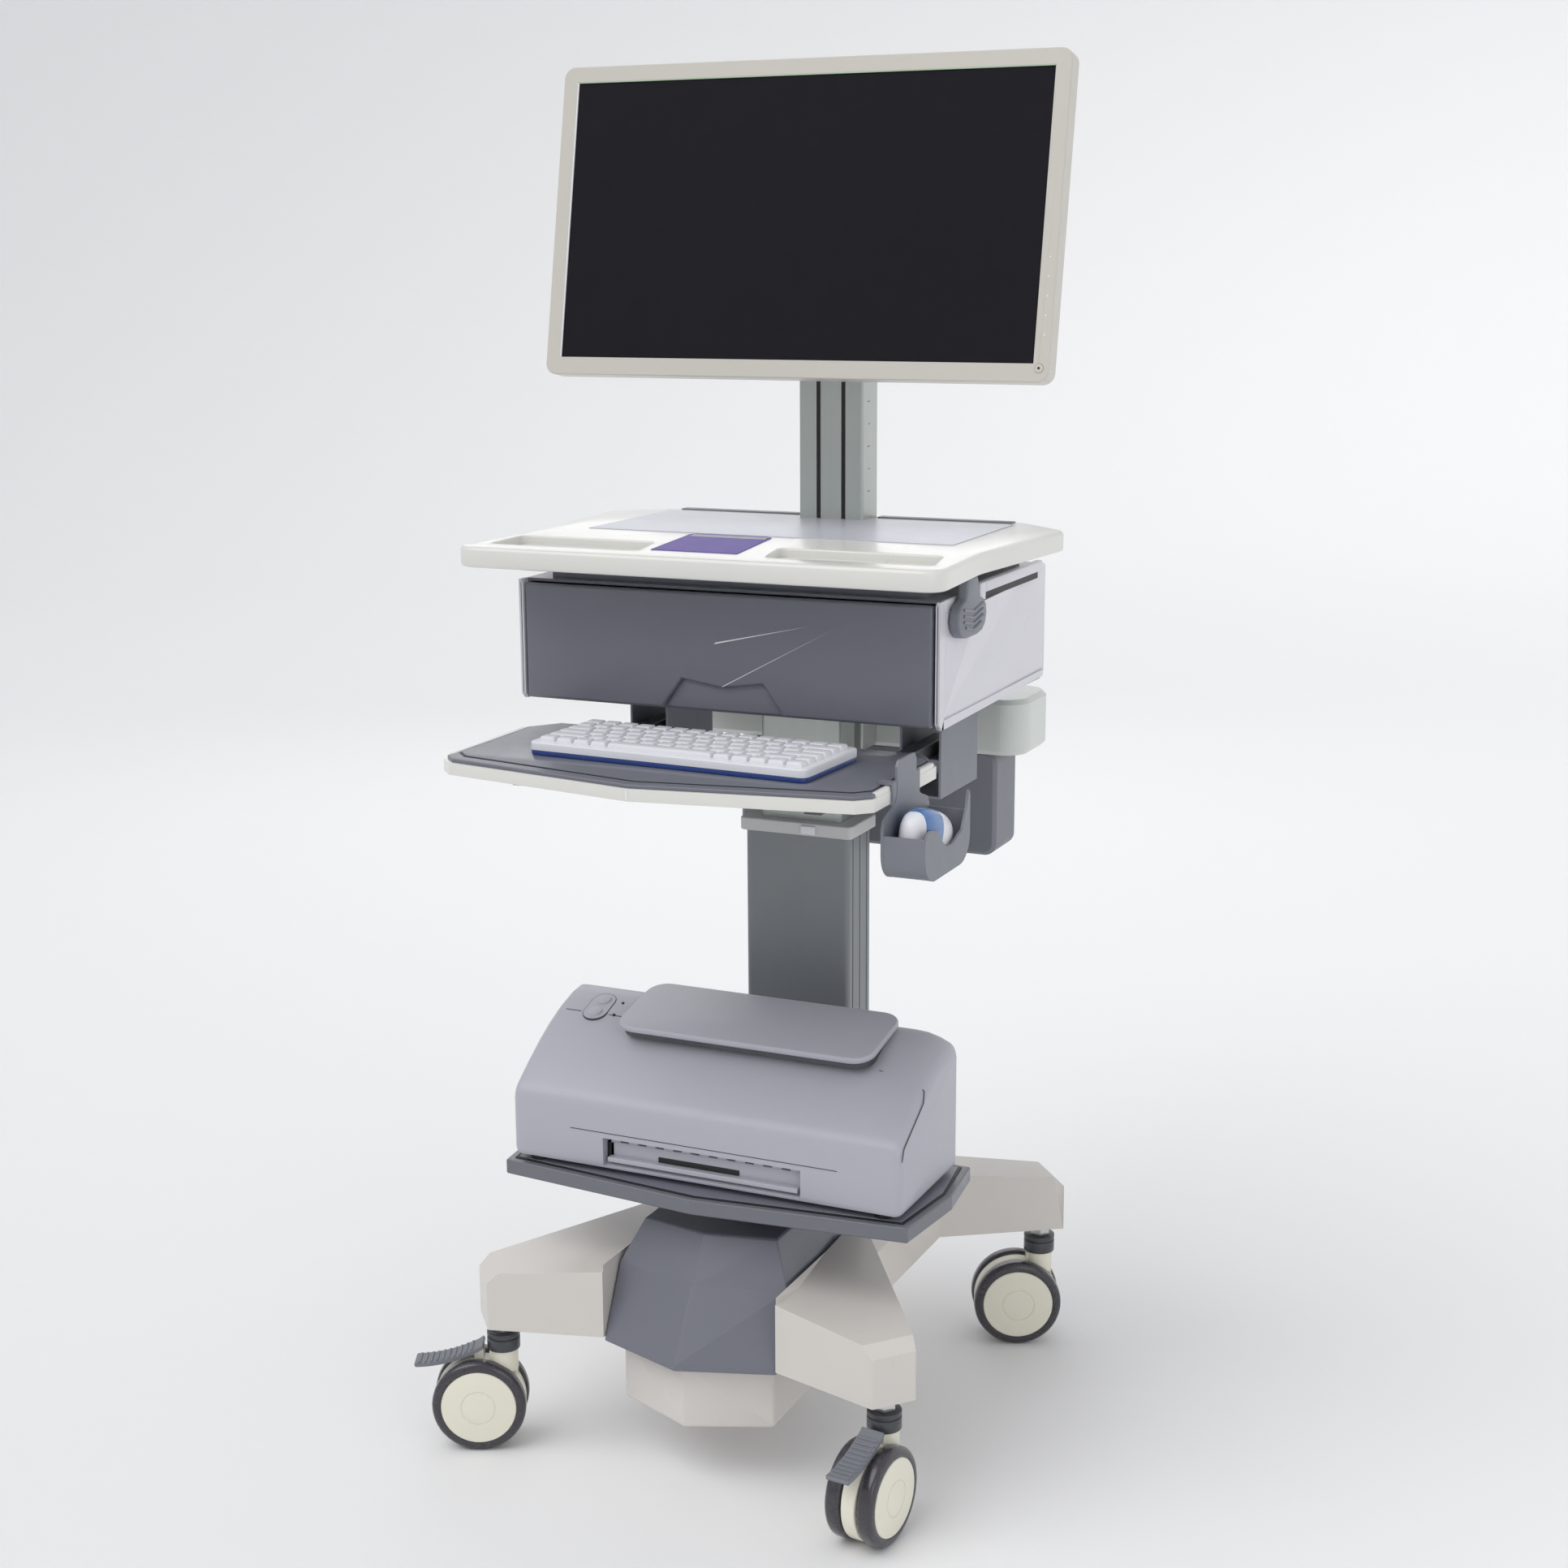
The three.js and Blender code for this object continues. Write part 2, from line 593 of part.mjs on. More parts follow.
function brakePedal() {
  const start = PEDAL_PIN_X - PEDAL_BARREL_RADIUS;
  const tip = PEDAL_PIN_X + PEDAL_LENGTH;
  const knee = PEDAL_PIN_X + PEDAL_LENGTH / 4;
  const top = PEDAL_UNDERSIDE + PEDAL_THICK;
  const side = polygon([
    [start, PEDAL_UNDERSIDE],
    [knee, PEDAL_UNDERSIDE],
    [tip, PEDAL_UNDERSIDE - PEDAL_DROP],
    [tip, top - PEDAL_DROP],
    [knee, top],
    [start, top],
  ]);
  const half = PEDAL_WIDTH / 2;
  const blade = prismAlongY(side, [-half, half]);
  const barrelHalf = PEDAL_BARREL_WIDTH / 2;
  const barrel = alongY(PEDAL_BARREL_RADIUS, [-barrelHalf, barrelHalf], [PEDAL_PIN_X, PEDAL_PIN_HEIGHT]);
  const web = box(
    [start, PEDAL_PIN_X + PEDAL_BARREL_RADIUS],
    [-barrelHalf, barrelHalf],
    [PEDAL_PIN_HEIGHT, PEDAL_UNDERSIDE + PAST],
  );
  const bore = alongY(PEDAL_PIN_RADIUS + RUNNING, [-half, half], [PEDAL_PIN_X, PEDAL_PIN_HEIGHT]);
  const ribs = [];
  const run = (tip - knee) / PEDAL_RIBS;
  for (let index = 0; index < PEDAL_RIBS; index += 1) {
    const x = knee + run * (index + 0.5);
    const drop = (PEDAL_DROP * (x - knee)) / (tip - knee);
    ribs.push(alongY(PEDAL_RIB, [-half + PAST, half - PAST], [x, top - drop], 6));
  }
  return join(cut(join(barrel, web), bore), blade, ...ribs);
}

function caster(name, heading, withPedal) {
  const group = new THREE.Group();
  group.rotation.z = radians(heading);
  group.add(piece(`caster_stem_${name}`, casterStem(), STEEL));
  group.add(piece(`caster_yoke_${name}`, casterYoke(withPedal), CREAM));
  for (const [label, side] of [["a", -1], ["b", 1]]) {
    group.add(piece(`wheel_hub_${name}_${label}`, wheelHub(side), CREAM));
    group.add(piece(`wheel_tyre_${name}_${label}`, wheelTyre(side), TYRE_BLACK));
  }
  if (withPedal) group.add(piece(`brake_pedal_${name}`, brakePedal(), PEDAL_GREY));
  return group;
}

function casters() {
  const group = new THREE.Group();
  for (const [name, heading] of Object.entries(CASTER_HEADINGS)) {
    const front = name.startsWith("front");
    const made = caster(name, heading, front);
    const side = name.endsWith("right") ? 1 : -1;
    made.position.set(side * STEM_HALF_TRACK, front ? STEM_FRONT_Y : STEM_REAR_Y, 0);
    group.add(made);
  }
  return group;
}

// ---- Base ----
function leg(side, front) {
  const angle = radians(front ? FRONT_LEG_ANGLE : REAR_LEG_ANGLE);
  const stem = new THREE.Vector2(STEM_HALF_TRACK, front ? STEM_FRONT_Y : STEM_REAR_Y);
  const along = new THREE.Vector2(Math.cos(angle), Math.sin(angle));
  const across = new THREE.Vector2(-along.y, along.x);
  const end = stem.clone().addScaledVector(along, LEG_BEYOND_STEM);
  const near = end.clone().addScaledVector(across, -LEG_END_HALF);
  const far = end.clone().addScaledVector(across, LEG_END_HALF);
  const root = SPINE_TOP_HALF / 2;
  const rootFront = front ? SPINE_FRONT_Y : SPINE_REAR_Y - REAR_LEG_ROOT;
  const rootRear = front ? SPINE_FRONT_Y + FRONT_LEG_ROOT : SPINE_REAR_Y;
  const plan = [
    [root, rootFront],
    [front ? HOOD_HALF : SPINE_HALF, front ? rootFront : rootFront + REAR_LEG_FLARE],
    [near.x, near.y],
    [far.x, far.y],
    [front ? SPINE_HALF : SPINE_HALF - REAR_LEG_INSET, rootRear],
    [root, rootRear],
  ];
  const outline = polygon(plan.map(([x, y]) => [side * x, y]));
  const block = prism(outline, [LEG_BOTTOM, SPINE_TOP]);
  // The side view along the leg, with a falling top and a chamfered end.
  const reach = STEM_HALF_TRACK;
  const endTop = LEG_BOTTOM + LEG_END_HEIGHT;
  const profile = polygon([
    [-reach, LEG_BOTTOM - PAST],
    [LEG_BEYOND_STEM + GAP, LEG_BOTTOM - PAST],
    [LEG_BEYOND_STEM + GAP, endTop - LEG_TOP_CHAMFER],
    [LEG_BEYOND_STEM - LEG_TOP_CHAMFER, endTop],
    [-reach, endTop + LEG_ROOT_RISE],
  ]);
  const view = extruded(profile, [-reach, reach], 0);
  view.rotateX(Math.PI / 2);
  view.rotateZ(side > 0 ? angle : Math.PI - angle);
  view.translate(side * stem.x, stem.y, 0);
  return block.intersect(solid(view));
}

function spine() {
  const shoulder = LEG_BOTTOM + SPINE_SIDE_HEIGHT;
  const section = polygon([
    [-SPINE_HALF, LEG_BOTTOM],
    [SPINE_HALF, LEG_BOTTOM],
    [SPINE_HALF, shoulder],
    [SPINE_TOP_HALF, SPINE_TOP],
    [-SPINE_TOP_HALF, SPINE_TOP],
    [-SPINE_HALF, shoulder],
  ]);
  const front = polygon([
    [-HOOD_HALF, SPINE_FRONT_Y],
    [HOOD_HALF, SPINE_FRONT_Y],
    [SPINE_HALF, SPINE_FRONT_Y + FRONT_LEG_ROOT],
    [SPINE_HALF, SPINE_REAR_Y],
    [-SPINE_HALF, SPINE_REAR_Y],
    [-SPINE_HALF, SPINE_FRONT_Y + FRONT_LEG_ROOT],
  ]);
  const body = prismAlongY(section, [SPINE_FRONT_Y, SPINE_REAR_Y]);
  return body.intersect(prism(front, [LEG_BOTTOM, SPINE_TOP]));
}

// The space inside the hood's outer faces, made larger all round by `grow`, longer by `rearward` and
// deeper by `downward`.
function hoodForm(grow, rearward, downward) {
  const low = LEG_BOTTOM - HOOD_LIP;
  const high = SPINE_TOP + HOOD_RISE;
  const rear = HOOD_REAR_Y + rearward;
  const plan = polygon([
    [0, HOOD_CREASE_Y - grow],
    [HOOD_HALF + grow, HOOD_CORNER_Y - grow],
    [HOOD_HALF + grow, rear],
    [-HOOD_HALF - grow, rear],
    [-HOOD_HALF - grow, HOOD_CORNER_Y - grow],
  ]);
  const block = prism(plan, [low - downward, high + grow]);
  const sides = polygon([
    [-HOOD_HALF - grow, low - downward - PAST],
    [HOOD_HALF + grow, low - downward - PAST],
    [HOOD_TOP_HALF + grow, high + grow],
    [-HOOD_TOP_HALF - grow, high + grow],
  ]);
  const tapered = block.intersect(prismAlongY(sides, [2 * HOOD_CREASE_Y, 0]));
  return cut(tapered, aheadOfHood(1, grow, low, high), aheadOfHood(-1, grow, low, high));
}

// The half space in front of one of the hood's two leaning front faces.
function aheadOfHood(side, grow, low, high) {
  const lowCrease = new THREE.Vector3(0, HOOD_CREASE_Y - grow, low);
  const highCrease = new THREE.Vector3(0, HOOD_TOP_CREASE_Y - grow, high);
  const corner = new THREE.Vector3(side * HOOD_HALF, HOOD_CORNER_Y - grow, low);
  const across = corner.sub(lowCrease);
  const up = highCrease.sub(lowCrease);
  const normal = across.cross(up).multiplyScalar(side).normalize();
  const size = 4 * HOOD_HALF;
  const geometry = new THREE.BoxGeometry(size, size, size);
  geometry.translate(0, 0, size / 2);
  const turn = new THREE.Quaternion().setFromUnitVectors(new THREE.Vector3(0, 0, 1), normal);
  geometry.applyQuaternion(turn);
  geometry.translate(lowCrease.x, lowCrease.y, lowCrease.z);
  return solid(geometry);
}

// The frame runs inside the hood as a core, and its front legs start outside the hood's walls.
function baseFrame() {
  const legs = [];
  const bores = [];
  for (const side of [-1, 1]) {
    for (const front of [true, false]) {
      legs.push(leg(side, front));
      const bore = bar(STEM_RADIUS + GAP, [LEG_BOTTOM - PAST, LEG_BOTTOM + STEM_IN_LEG + GAP]);
      bores.push(bore.translate([side * STEM_HALF_TRACK, front ? STEM_FRONT_Y : STEM_REAR_Y, 0]));
    }
  }
  const whole = cut(join(spine(), ...legs), ...bores);
  const hoodBay = box(
    [-HOOD_HALF - GAP, HOOD_HALF + GAP],
    [SPINE_FRONT_Y - PAST, HOOD_REAR_Y + GAP],
    [LEG_BOTTOM - PAST, SPINE_TOP + PAST],
  );
  const outside = cut(whole, hoodBay);
  const core = whole.intersect(hoodForm(-HOOD_WALL - GAP, HOOD_WALL, 0));
  return join(outside, core);
}

function baseHood() {
  return cut(hoodForm(0, 0, 0), hoodForm(-HOOD_WALL, HOOD_WALL, PAST));
}

function counterweightBox() {
  const plan = polygon([
    [0, BOX_CREASE_Y],
    [BOX_HALF, BOX_CORNER_Y],
    [BOX_HALF, BOX_REAR_Y],
    [-BOX_HALF, BOX_REAR_Y],
    [-BOX_HALF, BOX_CORNER_Y],
  ]);
  return prism(plan, [LEG_BOTTOM - BOX_DEPTH, LEG_BOTTOM - GAP], BOX_CHAMFER);
}

function base() {
  return [
    piece("base_frame", baseFrame(), SHELL_WHITE),
    piece("base_hood", baseHood(), SLATE),
    piece("counterweight_box", counterweightBox(), SHELL_WHITE),
  ];
}

// ---- Lift column, built with its own axis on x = 0, y = 0 ----
function rounded(width, depth, corner) {
  return roundedRectangle([-width / 2, width / 2], [-depth / 2, depth / 2], corner);
}

function rectangularTube(width, depth, wall, z) {
  const outer = rounded(width, depth, COLUMN_CORNER);
  const inner = rounded(width - 2 * wall, depth - 2 * wall, COLUMN_CORNER / 2);
  return cut(prism(outer, z, 0, 3), prism(inner, [z[0] - PAST, z[1] + PAST], 0, 3));
}

function lowerColumn(bottom) {
  const tube = rectangularTube(COLUMN_WIDTH, COLUMN_DEPTH, COLUMN_WALL, [bottom, COLUMN_TOP]);
  const middle = COLUMN_WIDTH / 2;
  const grooves = [];
  for (const share of COLUMN_GROOVE_SHARES) {
    const y = share * COLUMN_DEPTH;
    const across = [y - COLUMN_GROOVE / 2, y + COLUMN_GROOVE / 2];
    const z = [bottom - PAST, COLUMN_TOP + PAST];
    grooves.push(box([middle - COLUMN_GROOVE, middle + PAST], across, z));
    grooves.push(box([-middle - PAST, -middle + COLUMN_GROOVE], across, z));
  }
  return cut(tube, ...grooves);
}

function columnCollar() {
  const outer = rounded(COLUMN_WIDTH + 2 * COLLAR_PROUD, COLUMN_DEPTH + 2 * COLLAR_PROUD, COLUMN_CORNER);
  const guide = rounded(INNER_WIDTH + 2 * SLIDE_PLAY, INNER_DEPTH + 2 * SLIDE_PLAY, COLUMN_CORNER);
  const ring = prism(outer, [COLUMN_TOP + GAP, COLLAR_TOP], PAST, 3);
  return cut(ring, prism(guide, [COLUMN_TOP, COLLAR_TOP + PAST], 0, 3));
}

// The inner stage ends in a plate under the cabinet, which stops short of the monitor column behind it.
function innerColumn() {
  const tube = rectangularTube(INNER_WIDTH, INNER_DEPTH, INNER_WALL, [COLUMN_TOP - INNER_HIDDEN, INNER_TOP]);
  const front = -INNER_DEPTH / 2 - HEAD_LIP;
  const rear = POST_FRONT_Y - GAP - COLUMN_Y;
  const plate = box([-HEAD_HALF, HEAD_HALF], [front, rear], [INNER_TOP - PAST, CABINET_BOTTOM - GAP]);
  return join(tube, plate);
}

function gasCylinder(bottom, top) {
  const bore = bar(GAS_ROD_RADIUS + RUNNING, [bottom + GAS_FLOOR, top + PAST]);
  return cut(bar(GAS_RADIUS, [bottom, top]), bore);
}

function liftColumn() {
  const group = new THREE.Group();
  group.position.y = COLUMN_Y;
  const bottom = SPINE_TOP + GAP;
  const gasTop = bottom + GAS_LENGTH;
  const rod = bar(GAS_ROD_RADIUS, [gasTop - GAS_ROD_HIDDEN, INNER_TOP - PAST - GAP]);
  group.add(piece("lower_column", lowerColumn(bottom), COLUMN_GREY));
  group.add(piece("column_collar", columnCollar(), COLLAR_GREY));
  group.add(piece("inner_column", innerColumn(), PALE_ALUMINIUM));
  group.add(piece("gas_spring_cylinder", gasCylinder(bottom, gasTop), DARK_STEEL));
  group.add(piece("gas_spring_rod", rod, STEEL));
  return group;
}

// ---- Cabinet and drawer ----
function postNotch(rear, z) {
  const half = POST_WIDTH / 2 + GAP;
  return box([-half, half], [POST_FRONT_Y - GAP, rear + PAST], z);
}

function cabinetShell() {
  const depth = [CABINET_FRONT_Y, CABINET_REAR_Y];
  const inside = CABINET_HALF - CABINET_WALL;
  const body = box([-CABINET_HALF, CABINET_HALF], depth, [CABINET_BOTTOM, CABINET_TOP]);
  const neckDepth = [depth[0] + NECK_INSET, depth[1] - NECK_INSET];
  const neck = box([-NECK_HALF, NECK_HALF], neckDepth, [CABINET_TOP - PAST, TOP_BOTTOM - GAP]);
  const hollow = box(
    [-inside, inside],
    [depth[0] - PAST, POST_FRONT_Y - GAP - CABINET_WALL],
    [CABINET_BOTTOM + CABINET_WALL, CABINET_TOP - CABINET_WALL],
  );
  const shell = cut(join(body, neck), hollow, postNotch(depth[1], [CABINET_BOTTOM - PAST, TOP_BOTTOM]));
  const railZ = [CABINET_BOTTOM + CABINET_WALL - PAST, TRAY_FLOOR - GAP];
  const rails = [-1, 1].map((side) => {
    const edges = [side * (TRAY_HALF - TRAY_RAIL_WIDTH), side * TRAY_HALF];
    return box([Math.min(...edges), Math.max(...edges)], [depth[0], TRAY_REAR_Y], railZ);
  });
  return join(shell, ...rails);
}

function sidePanel(side) {
  const inner = side * (CABINET_HALF + GAP);
  const outer = side * (CABINET_HALF + GAP + SIDE_PANEL_THICK);
  const depth = [CABINET_FRONT_Y - SIDE_PANEL_FRONT, CABINET_REAR_Y];
  const outline = roundedRectangle(depth, [CABINET_BOTTOM, CABINET_TOP], SIDE_PANEL_THICK);
  return prismAlongX(outline, [Math.min(inner, outer), Math.max(inner, outer)], PAST, 3);
}

function drawerFront() {
  const rear = DRAWER_FRONT_Y + DRAWER_THICK;
  const outline = roundedRectangle([-DRAWER_HALF, DRAWER_HALF], [DRAWER_BOTTOM, DRAWER_TOP], DRAWER_THICK / 3);
  const grip = polygon([
    [-GRIP_HALF, DRAWER_BOTTOM - PAST],
    [GRIP_HALF, DRAWER_BOTTOM - PAST],
    [GRIP_TOP_HALF, DRAWER_BOTTOM + GRIP_HEIGHT],
    [0, DRAWER_BOTTOM + GRIP_HEIGHT - GRIP_NOTCH],
    [-GRIP_TOP_HALF, DRAWER_BOTTOM + GRIP_HEIGHT],
  ]);
  const recess = prismAlongY(grip, [DRAWER_FRONT_Y - PAST, DRAWER_FRONT_Y + GRIP_DEPTH]);
  return cut(prismAlongY(outline, [DRAWER_FRONT_Y, rear], PAST, 3), recess);
}

function drawerTray() {
  const top = TRAY_FLOOR + TRAY_HEIGHT;
  const inside = TRAY_HALF - TRAY_WALL;
  const hollow = box(
    [-inside, inside],
    [CABINET_FRONT_Y + TRAY_WALL, TRAY_REAR_Y - TRAY_WALL],
    [TRAY_FLOOR + TRAY_WALL, top + PAST],
  );
  return cut(box([-TRAY_HALF, TRAY_HALF], [CABINET_FRONT_Y, TRAY_REAR_Y], [TRAY_FLOOR, top]), hollow);
}

function cabinet() {
  return [
    piece("cabinet_shell", cabinetShell(), SLATE),
    piece("side_panel_left", sidePanel(-1), PANEL_WHITE),
    piece("side_panel_right", sidePanel(1), PANEL_WHITE),
    piece("drawer_front", drawerFront(), SLATE),
    piece("drawer_tray", drawerTray(), COLLAR_GREY),
  ];
}

// ---- Work surface, with the lugs and pin that carry the lift lever ----
function leverPin() {
  const inner = LEVER_NECK_HALF + SLIDE_PLAY;
  const outer = inner + LEVER_LUG;
  const x = [LEVER_X - LEVER_BARREL_RADIUS, LEVER_X + LEVER_BARREL_RADIUS];
  const z = [LEVER_PIN_Z - LEVER_BARREL_RADIUS, TOP_BOTTOM + PAST];
  const front = box(x, [LEVER_Y - outer, LEVER_Y - inner], z);
  const rear = box(x, [LEVER_Y + inner, LEVER_Y + outer], z);
  const pin = alongY(LEVER_PIN_RADIUS, [LEVER_Y - outer, LEVER_Y + outer], [LEVER_X, LEVER_PIN_Z]);
  return join(front, rear, pin);
}

function workSurface() {
  const outline = new THREE.Shape();
  const corner = TOP_FRONT_HALF - TOP_CORNER;
  outline.moveTo(-corner, TOP_FRONT_Y);
  outline.lineTo(corner, TOP_FRONT_Y);
  outline.quadraticCurveTo(TOP_FRONT_HALF, TOP_FRONT_Y, TOP_FRONT_HALF, TOP_FRONT_Y + TOP_CORNER);
  outline.lineTo(TOP_KNEE_HALF, TOP_KNEE_Y);
  outline.lineTo(TOP_REAR_HALF, TOP_REAR_SIDE_Y);
  outline.lineTo(TOP_REAR_EDGE_HALF, TOP_REAR_Y);
  outline.lineTo(-TOP_REAR_EDGE_HALF, TOP_REAR_Y);
  outline.lineTo(-TOP_REAR_HALF, TOP_REAR_SIDE_Y);
  outline.lineTo(-TOP_KNEE_HALF, TOP_KNEE_Y);
  outline.lineTo(-TOP_FRONT_HALF, TOP_FRONT_Y + TOP_CORNER);
  outline.quadraticCurveTo(-TOP_FRONT_HALF, TOP_FRONT_Y, -corner, TOP_FRONT_Y);
  const slab = prism(outline, [TOP_BOTTOM, TOP_SURFACE], TOP_CHAMFER);
  const recesses = [-1, 1].map((side) => {
    const plan = polygon([
      [side * PEN_INNER, PEN_FRONT_Y],
      [side * PEN_OUTER, PEN_FRONT_Y],
      [side * (PEN_OUTER - PEN_SLANT), PEN_REAR_Y],
      [side * (PEN_INNER - PEN_SLANT), PEN_REAR_Y],
    ]);
    return prism(plan, [TOP_SURFACE - PEN_DEPTH, TOP_SURFACE + PAST]);
  });
  const notch = postNotch(TOP_REAR_Y, [TOP_BOTTOM - PAST, TOP_SURFACE + PAST]);
  return join(cut(slab, notch, ...recesses), leverPin());
}

// ---- Lift lever: a paddle hung under the right edge of the work surface ----
function liftLever() {
  const shoulder = LEVER_PIN_Z - LEVER_DROP / 4;
  const chin = LEVER_PIN_Z - LEVER_DROP * 0.8;
  const outline = polygon([
    [LEVER_Y - LEVER_NECK_HALF, LEVER_PIN_Z],
    [LEVER_Y - LEVER_NECK_HALF, shoulder],
    [LEVER_Y - LEVER_HALF, shoulder - LEVER_THICK],
    [LEVER_Y - LEVER_HALF, chin],
    [LEVER_Y, LEVER_PIN_Z - LEVER_DROP],
    [LEVER_Y + LEVER_HALF, chin],
    [LEVER_Y + LEVER_HALF, shoulder - LEVER_THICK],
    [LEVER_Y + LEVER_NECK_HALF, shoulder],
    [LEVER_Y + LEVER_NECK_HALF, LEVER_PIN_Z],
  ]);
  const paddle = prismAlongX(outline, [LEVER_X - LEVER_THICK / 2, LEVER_X + LEVER_THICK / 2], PAST);
  const width = [LEVER_Y - LEVER_NECK_HALF, LEVER_Y + LEVER_NECK_HALF];
  const barrel = alongY(LEVER_BARREL_RADIUS, width, [LEVER_X, LEVER_PIN_Z]);
  const reach = [LEVER_Y - LEVER_HALF, LEVER_Y + LEVER_HALF];
  const bore = alongY(LEVER_PIN_RADIUS + RUNNING, reach, [LEVER_X, LEVER_PIN_Z]);
  return cut(join(paddle, barrel), bore);
}

// ---- Keyboard tray, hung in two channels under the cabinet ----
function keyboardBracket(side) {
  const edges = [side * BRACKET_INNER, side * (BRACKET_INNER + BRACKET_WIDTH)];
  const x = [Math.min(...edges), Math.max(...edges)];
  const y = [BRACKET_FRONT_Y, BRACKET_REAR_Y];
  const z = [BRACKET_BOTTOM, BRACKET_TOP];
  const past = [y[0] - PAST, y[1] + PAST];
  const inside = [x[0] + BRACKET_WALL, x[1] - BRACKET_WALL];
  const ledgeTop = RUNNER_BOTTOM - GAP;
  const above = box(inside, past, [ledgeTop, z[1] - BRACKET_WALL]);
  const below = box(inside, past, [z[0] + BRACKET_WALL, ledgeTop - BRACKET_LEDGE]);
  return cut(box(x, y, z), above, below);
}

function keyboardTray() {
  const plan = polygon([
    [0, KB_CREASE_Y],
    [KB_HALF - KB_CORNER, KB_FRONT_Y],
    [KB_HALF, KB_FRONT_Y + KB_CORNER],
    [KB_HALF, KB_SIDE_REAR_Y],
    [KB_REAR_EDGE_HALF, KB_REAR_Y],
    [-KB_REAR_EDGE_HALF, KB_REAR_Y],
    [-KB_HALF, KB_SIDE_REAR_Y],
    [-KB_HALF, KB_FRONT_Y + KB_CORNER],
    [-KB_HALF + KB_CORNER, KB_FRONT_Y],
  ]);
  const plate = prism(plan, [KB_BOTTOM, KB_TOP], PAST);
  const middle = BRACKET_INNER + BRACKET_WIDTH / 2;
  const runners = [-middle, middle].map((x) =>
    box(
      [x - RUNNER_WIDTH / 2, x + RUNNER_WIDTH / 2],
      [RUNNER_FRONT_Y, RUNNER_REAR_Y],
      [RUNNER_BOTTOM, RUNNER_BOTTOM + RUNNER_HEIGHT + PAST],
    ),
  );
  return join(plate, ...runners);
}

function keyboard() {
  const halfWidth = KEYBOARD_WIDTH / 2;
  const halfDepth = KEYBOARD_DEPTH / 2;
  const bottom = KB_TOP + GAP;
  const top = bottom + KEYBOARD_THICK;
  const case_ = prism(rounded(KEYBOARD_WIDTH, KEYBOARD_DEPTH, KEY_MARGIN), [bottom, top], PAST, 3);
  const keys = box(
    [-halfWidth + KEY_MARGIN, halfWidth - KEY_MARGIN],
    [-halfDepth + KEY_MARGIN, halfDepth - KEY_MARGIN],
    [top - PAST, top + KEY_HEIGHT],
  );
  const mesh = piece("keyboard", join(case_, keys), KEY_WHITE);
  mesh.position.y = KEYBOARD_Y;
  mesh.rotation.z = radians(KEYBOARD_TURN);
  return mesh;
}

// ---- Mouse holder, hooked over the right side of the keyboard tray ----
const HOLDER_INNER_X = KB_HALF + GAP;
const HOLDER_OUTER_X = HOLDER_INNER_X + HOLDER_DEPTH;
const HOLDER_BOTTOM = KB_TOP - HOLDER_DROP;
const HOLDER_MIDDLE_Y = (HOLDER_FRONT_Y + HOLDER_REAR_Y) / 2;

function mouseHolder() {
  const wall = HOLDER_WALL;
  const y = [HOLDER_FRONT_Y, HOLDER_REAR_Y];
  const top = HOLDER_BOTTOM + HOLDER_CUP;
  const cup = cut(
    box([HOLDER_INNER_X, HOLDER_OUTER_X], y, [HOLDER_BOTTOM, top]),
    box(
      [HOLDER_INNER_X + wall, HOLDER_OUTER_X - wall],
      [y[0] + wall, y[1] - wall],
      [HOLDER_BOTTOM + wall, top + PAST],
    ),
  );
  const plateX = [HOLDER_INNER_X, HOLDER_INNER_X + wall];
  const plate = box(plateX, y, [HOLDER_BOTTOM, KB_TOP + GAP + wall]);
  const tongueY = [HOLDER_MIDDLE_Y - HOLDER_TONGUE_HALF, HOLDER_MIDDLE_Y + HOLDER_TONGUE_HALF];
  const tongue = box(plateX, tongueY, [KB_TOP, KB_TOP + HOLDER_TONGUE_RISE]);
  const hooks = [-HOOK_SPREAD, HOOK_SPREAD].map((offset) => {
    const middle = HOLDER_MIDDLE_Y + offset;
    return box(
      [HOLDER_INNER_X - HOOK_REACH, HOLDER_INNER_X + wall],
      [middle - HOOK_WIDTH / 2, middle + HOOK_WIDTH / 2],
      [KB_TOP + GAP, KB_TOP + GAP + wall],
    );
  });
  return join(cup, plate, tongue, ...hooks);
}

function mouse() {
  const bottom = HOLDER_BOTTOM + HOLDER_WALL + GAP;
  const middleX = (HOLDER_INNER_X + HOLDER_OUTER_X) / 2;
  const outline = roundedRectangle(
    [HOLDER_MIDDLE_Y - MOUSE_LENGTH / 2, HOLDER_MIDDLE_Y + MOUSE_LENGTH / 2],
    [bottom, bottom + MOUSE_WIDTH],
    MOUSE_ROUND,
  );
  return prismAlongX(outline, [middleX - MOUSE_THICK / 2, middleX + MOUSE_THICK / 2], MOUSE_THICK / 4);
}

// ---- Rear handle and power box, behind the monitor column ----
function rearHandle() {
  const outer = roundedRectangle([-HANDLE_HALF, HANDLE_HALF], [HANDLE_FRONT_Y, HANDLE_REAR_Y], HANDLE_CORNER);
  const grasp = roundedRectangle(
    [-HANDLE_HALF + HANDLE_ARM, HANDLE_HALF - HANDLE_ARM],
    [HANDLE_FRONT_Y + HANDLE_FRONT_BAR, HANDLE_REAR_Y - HANDLE_GRIP],
    HANDLE_CORNER / 2,
  );
  const ring = prism(outer, [HANDLE_BOTTOM, HANDLE_TOP], HANDLE_CORNER / 6);
  return cut(ring, prism(grasp, [HANDLE_BOTTOM - PAST, HANDLE_TOP + PAST]));
}

function powerBox() {
  const top = HANDLE_BOTTOM - GAP;
  const outline = roundedRectangle([POWER_LEFT, POWER_RIGHT], [top - POWER_HEIGHT, top], POWER_CORNER);
  return prismAlongY(outline, [POWER_FRONT_Y, POWER_REAR_Y], BOX_CHAMFER, 4);
}

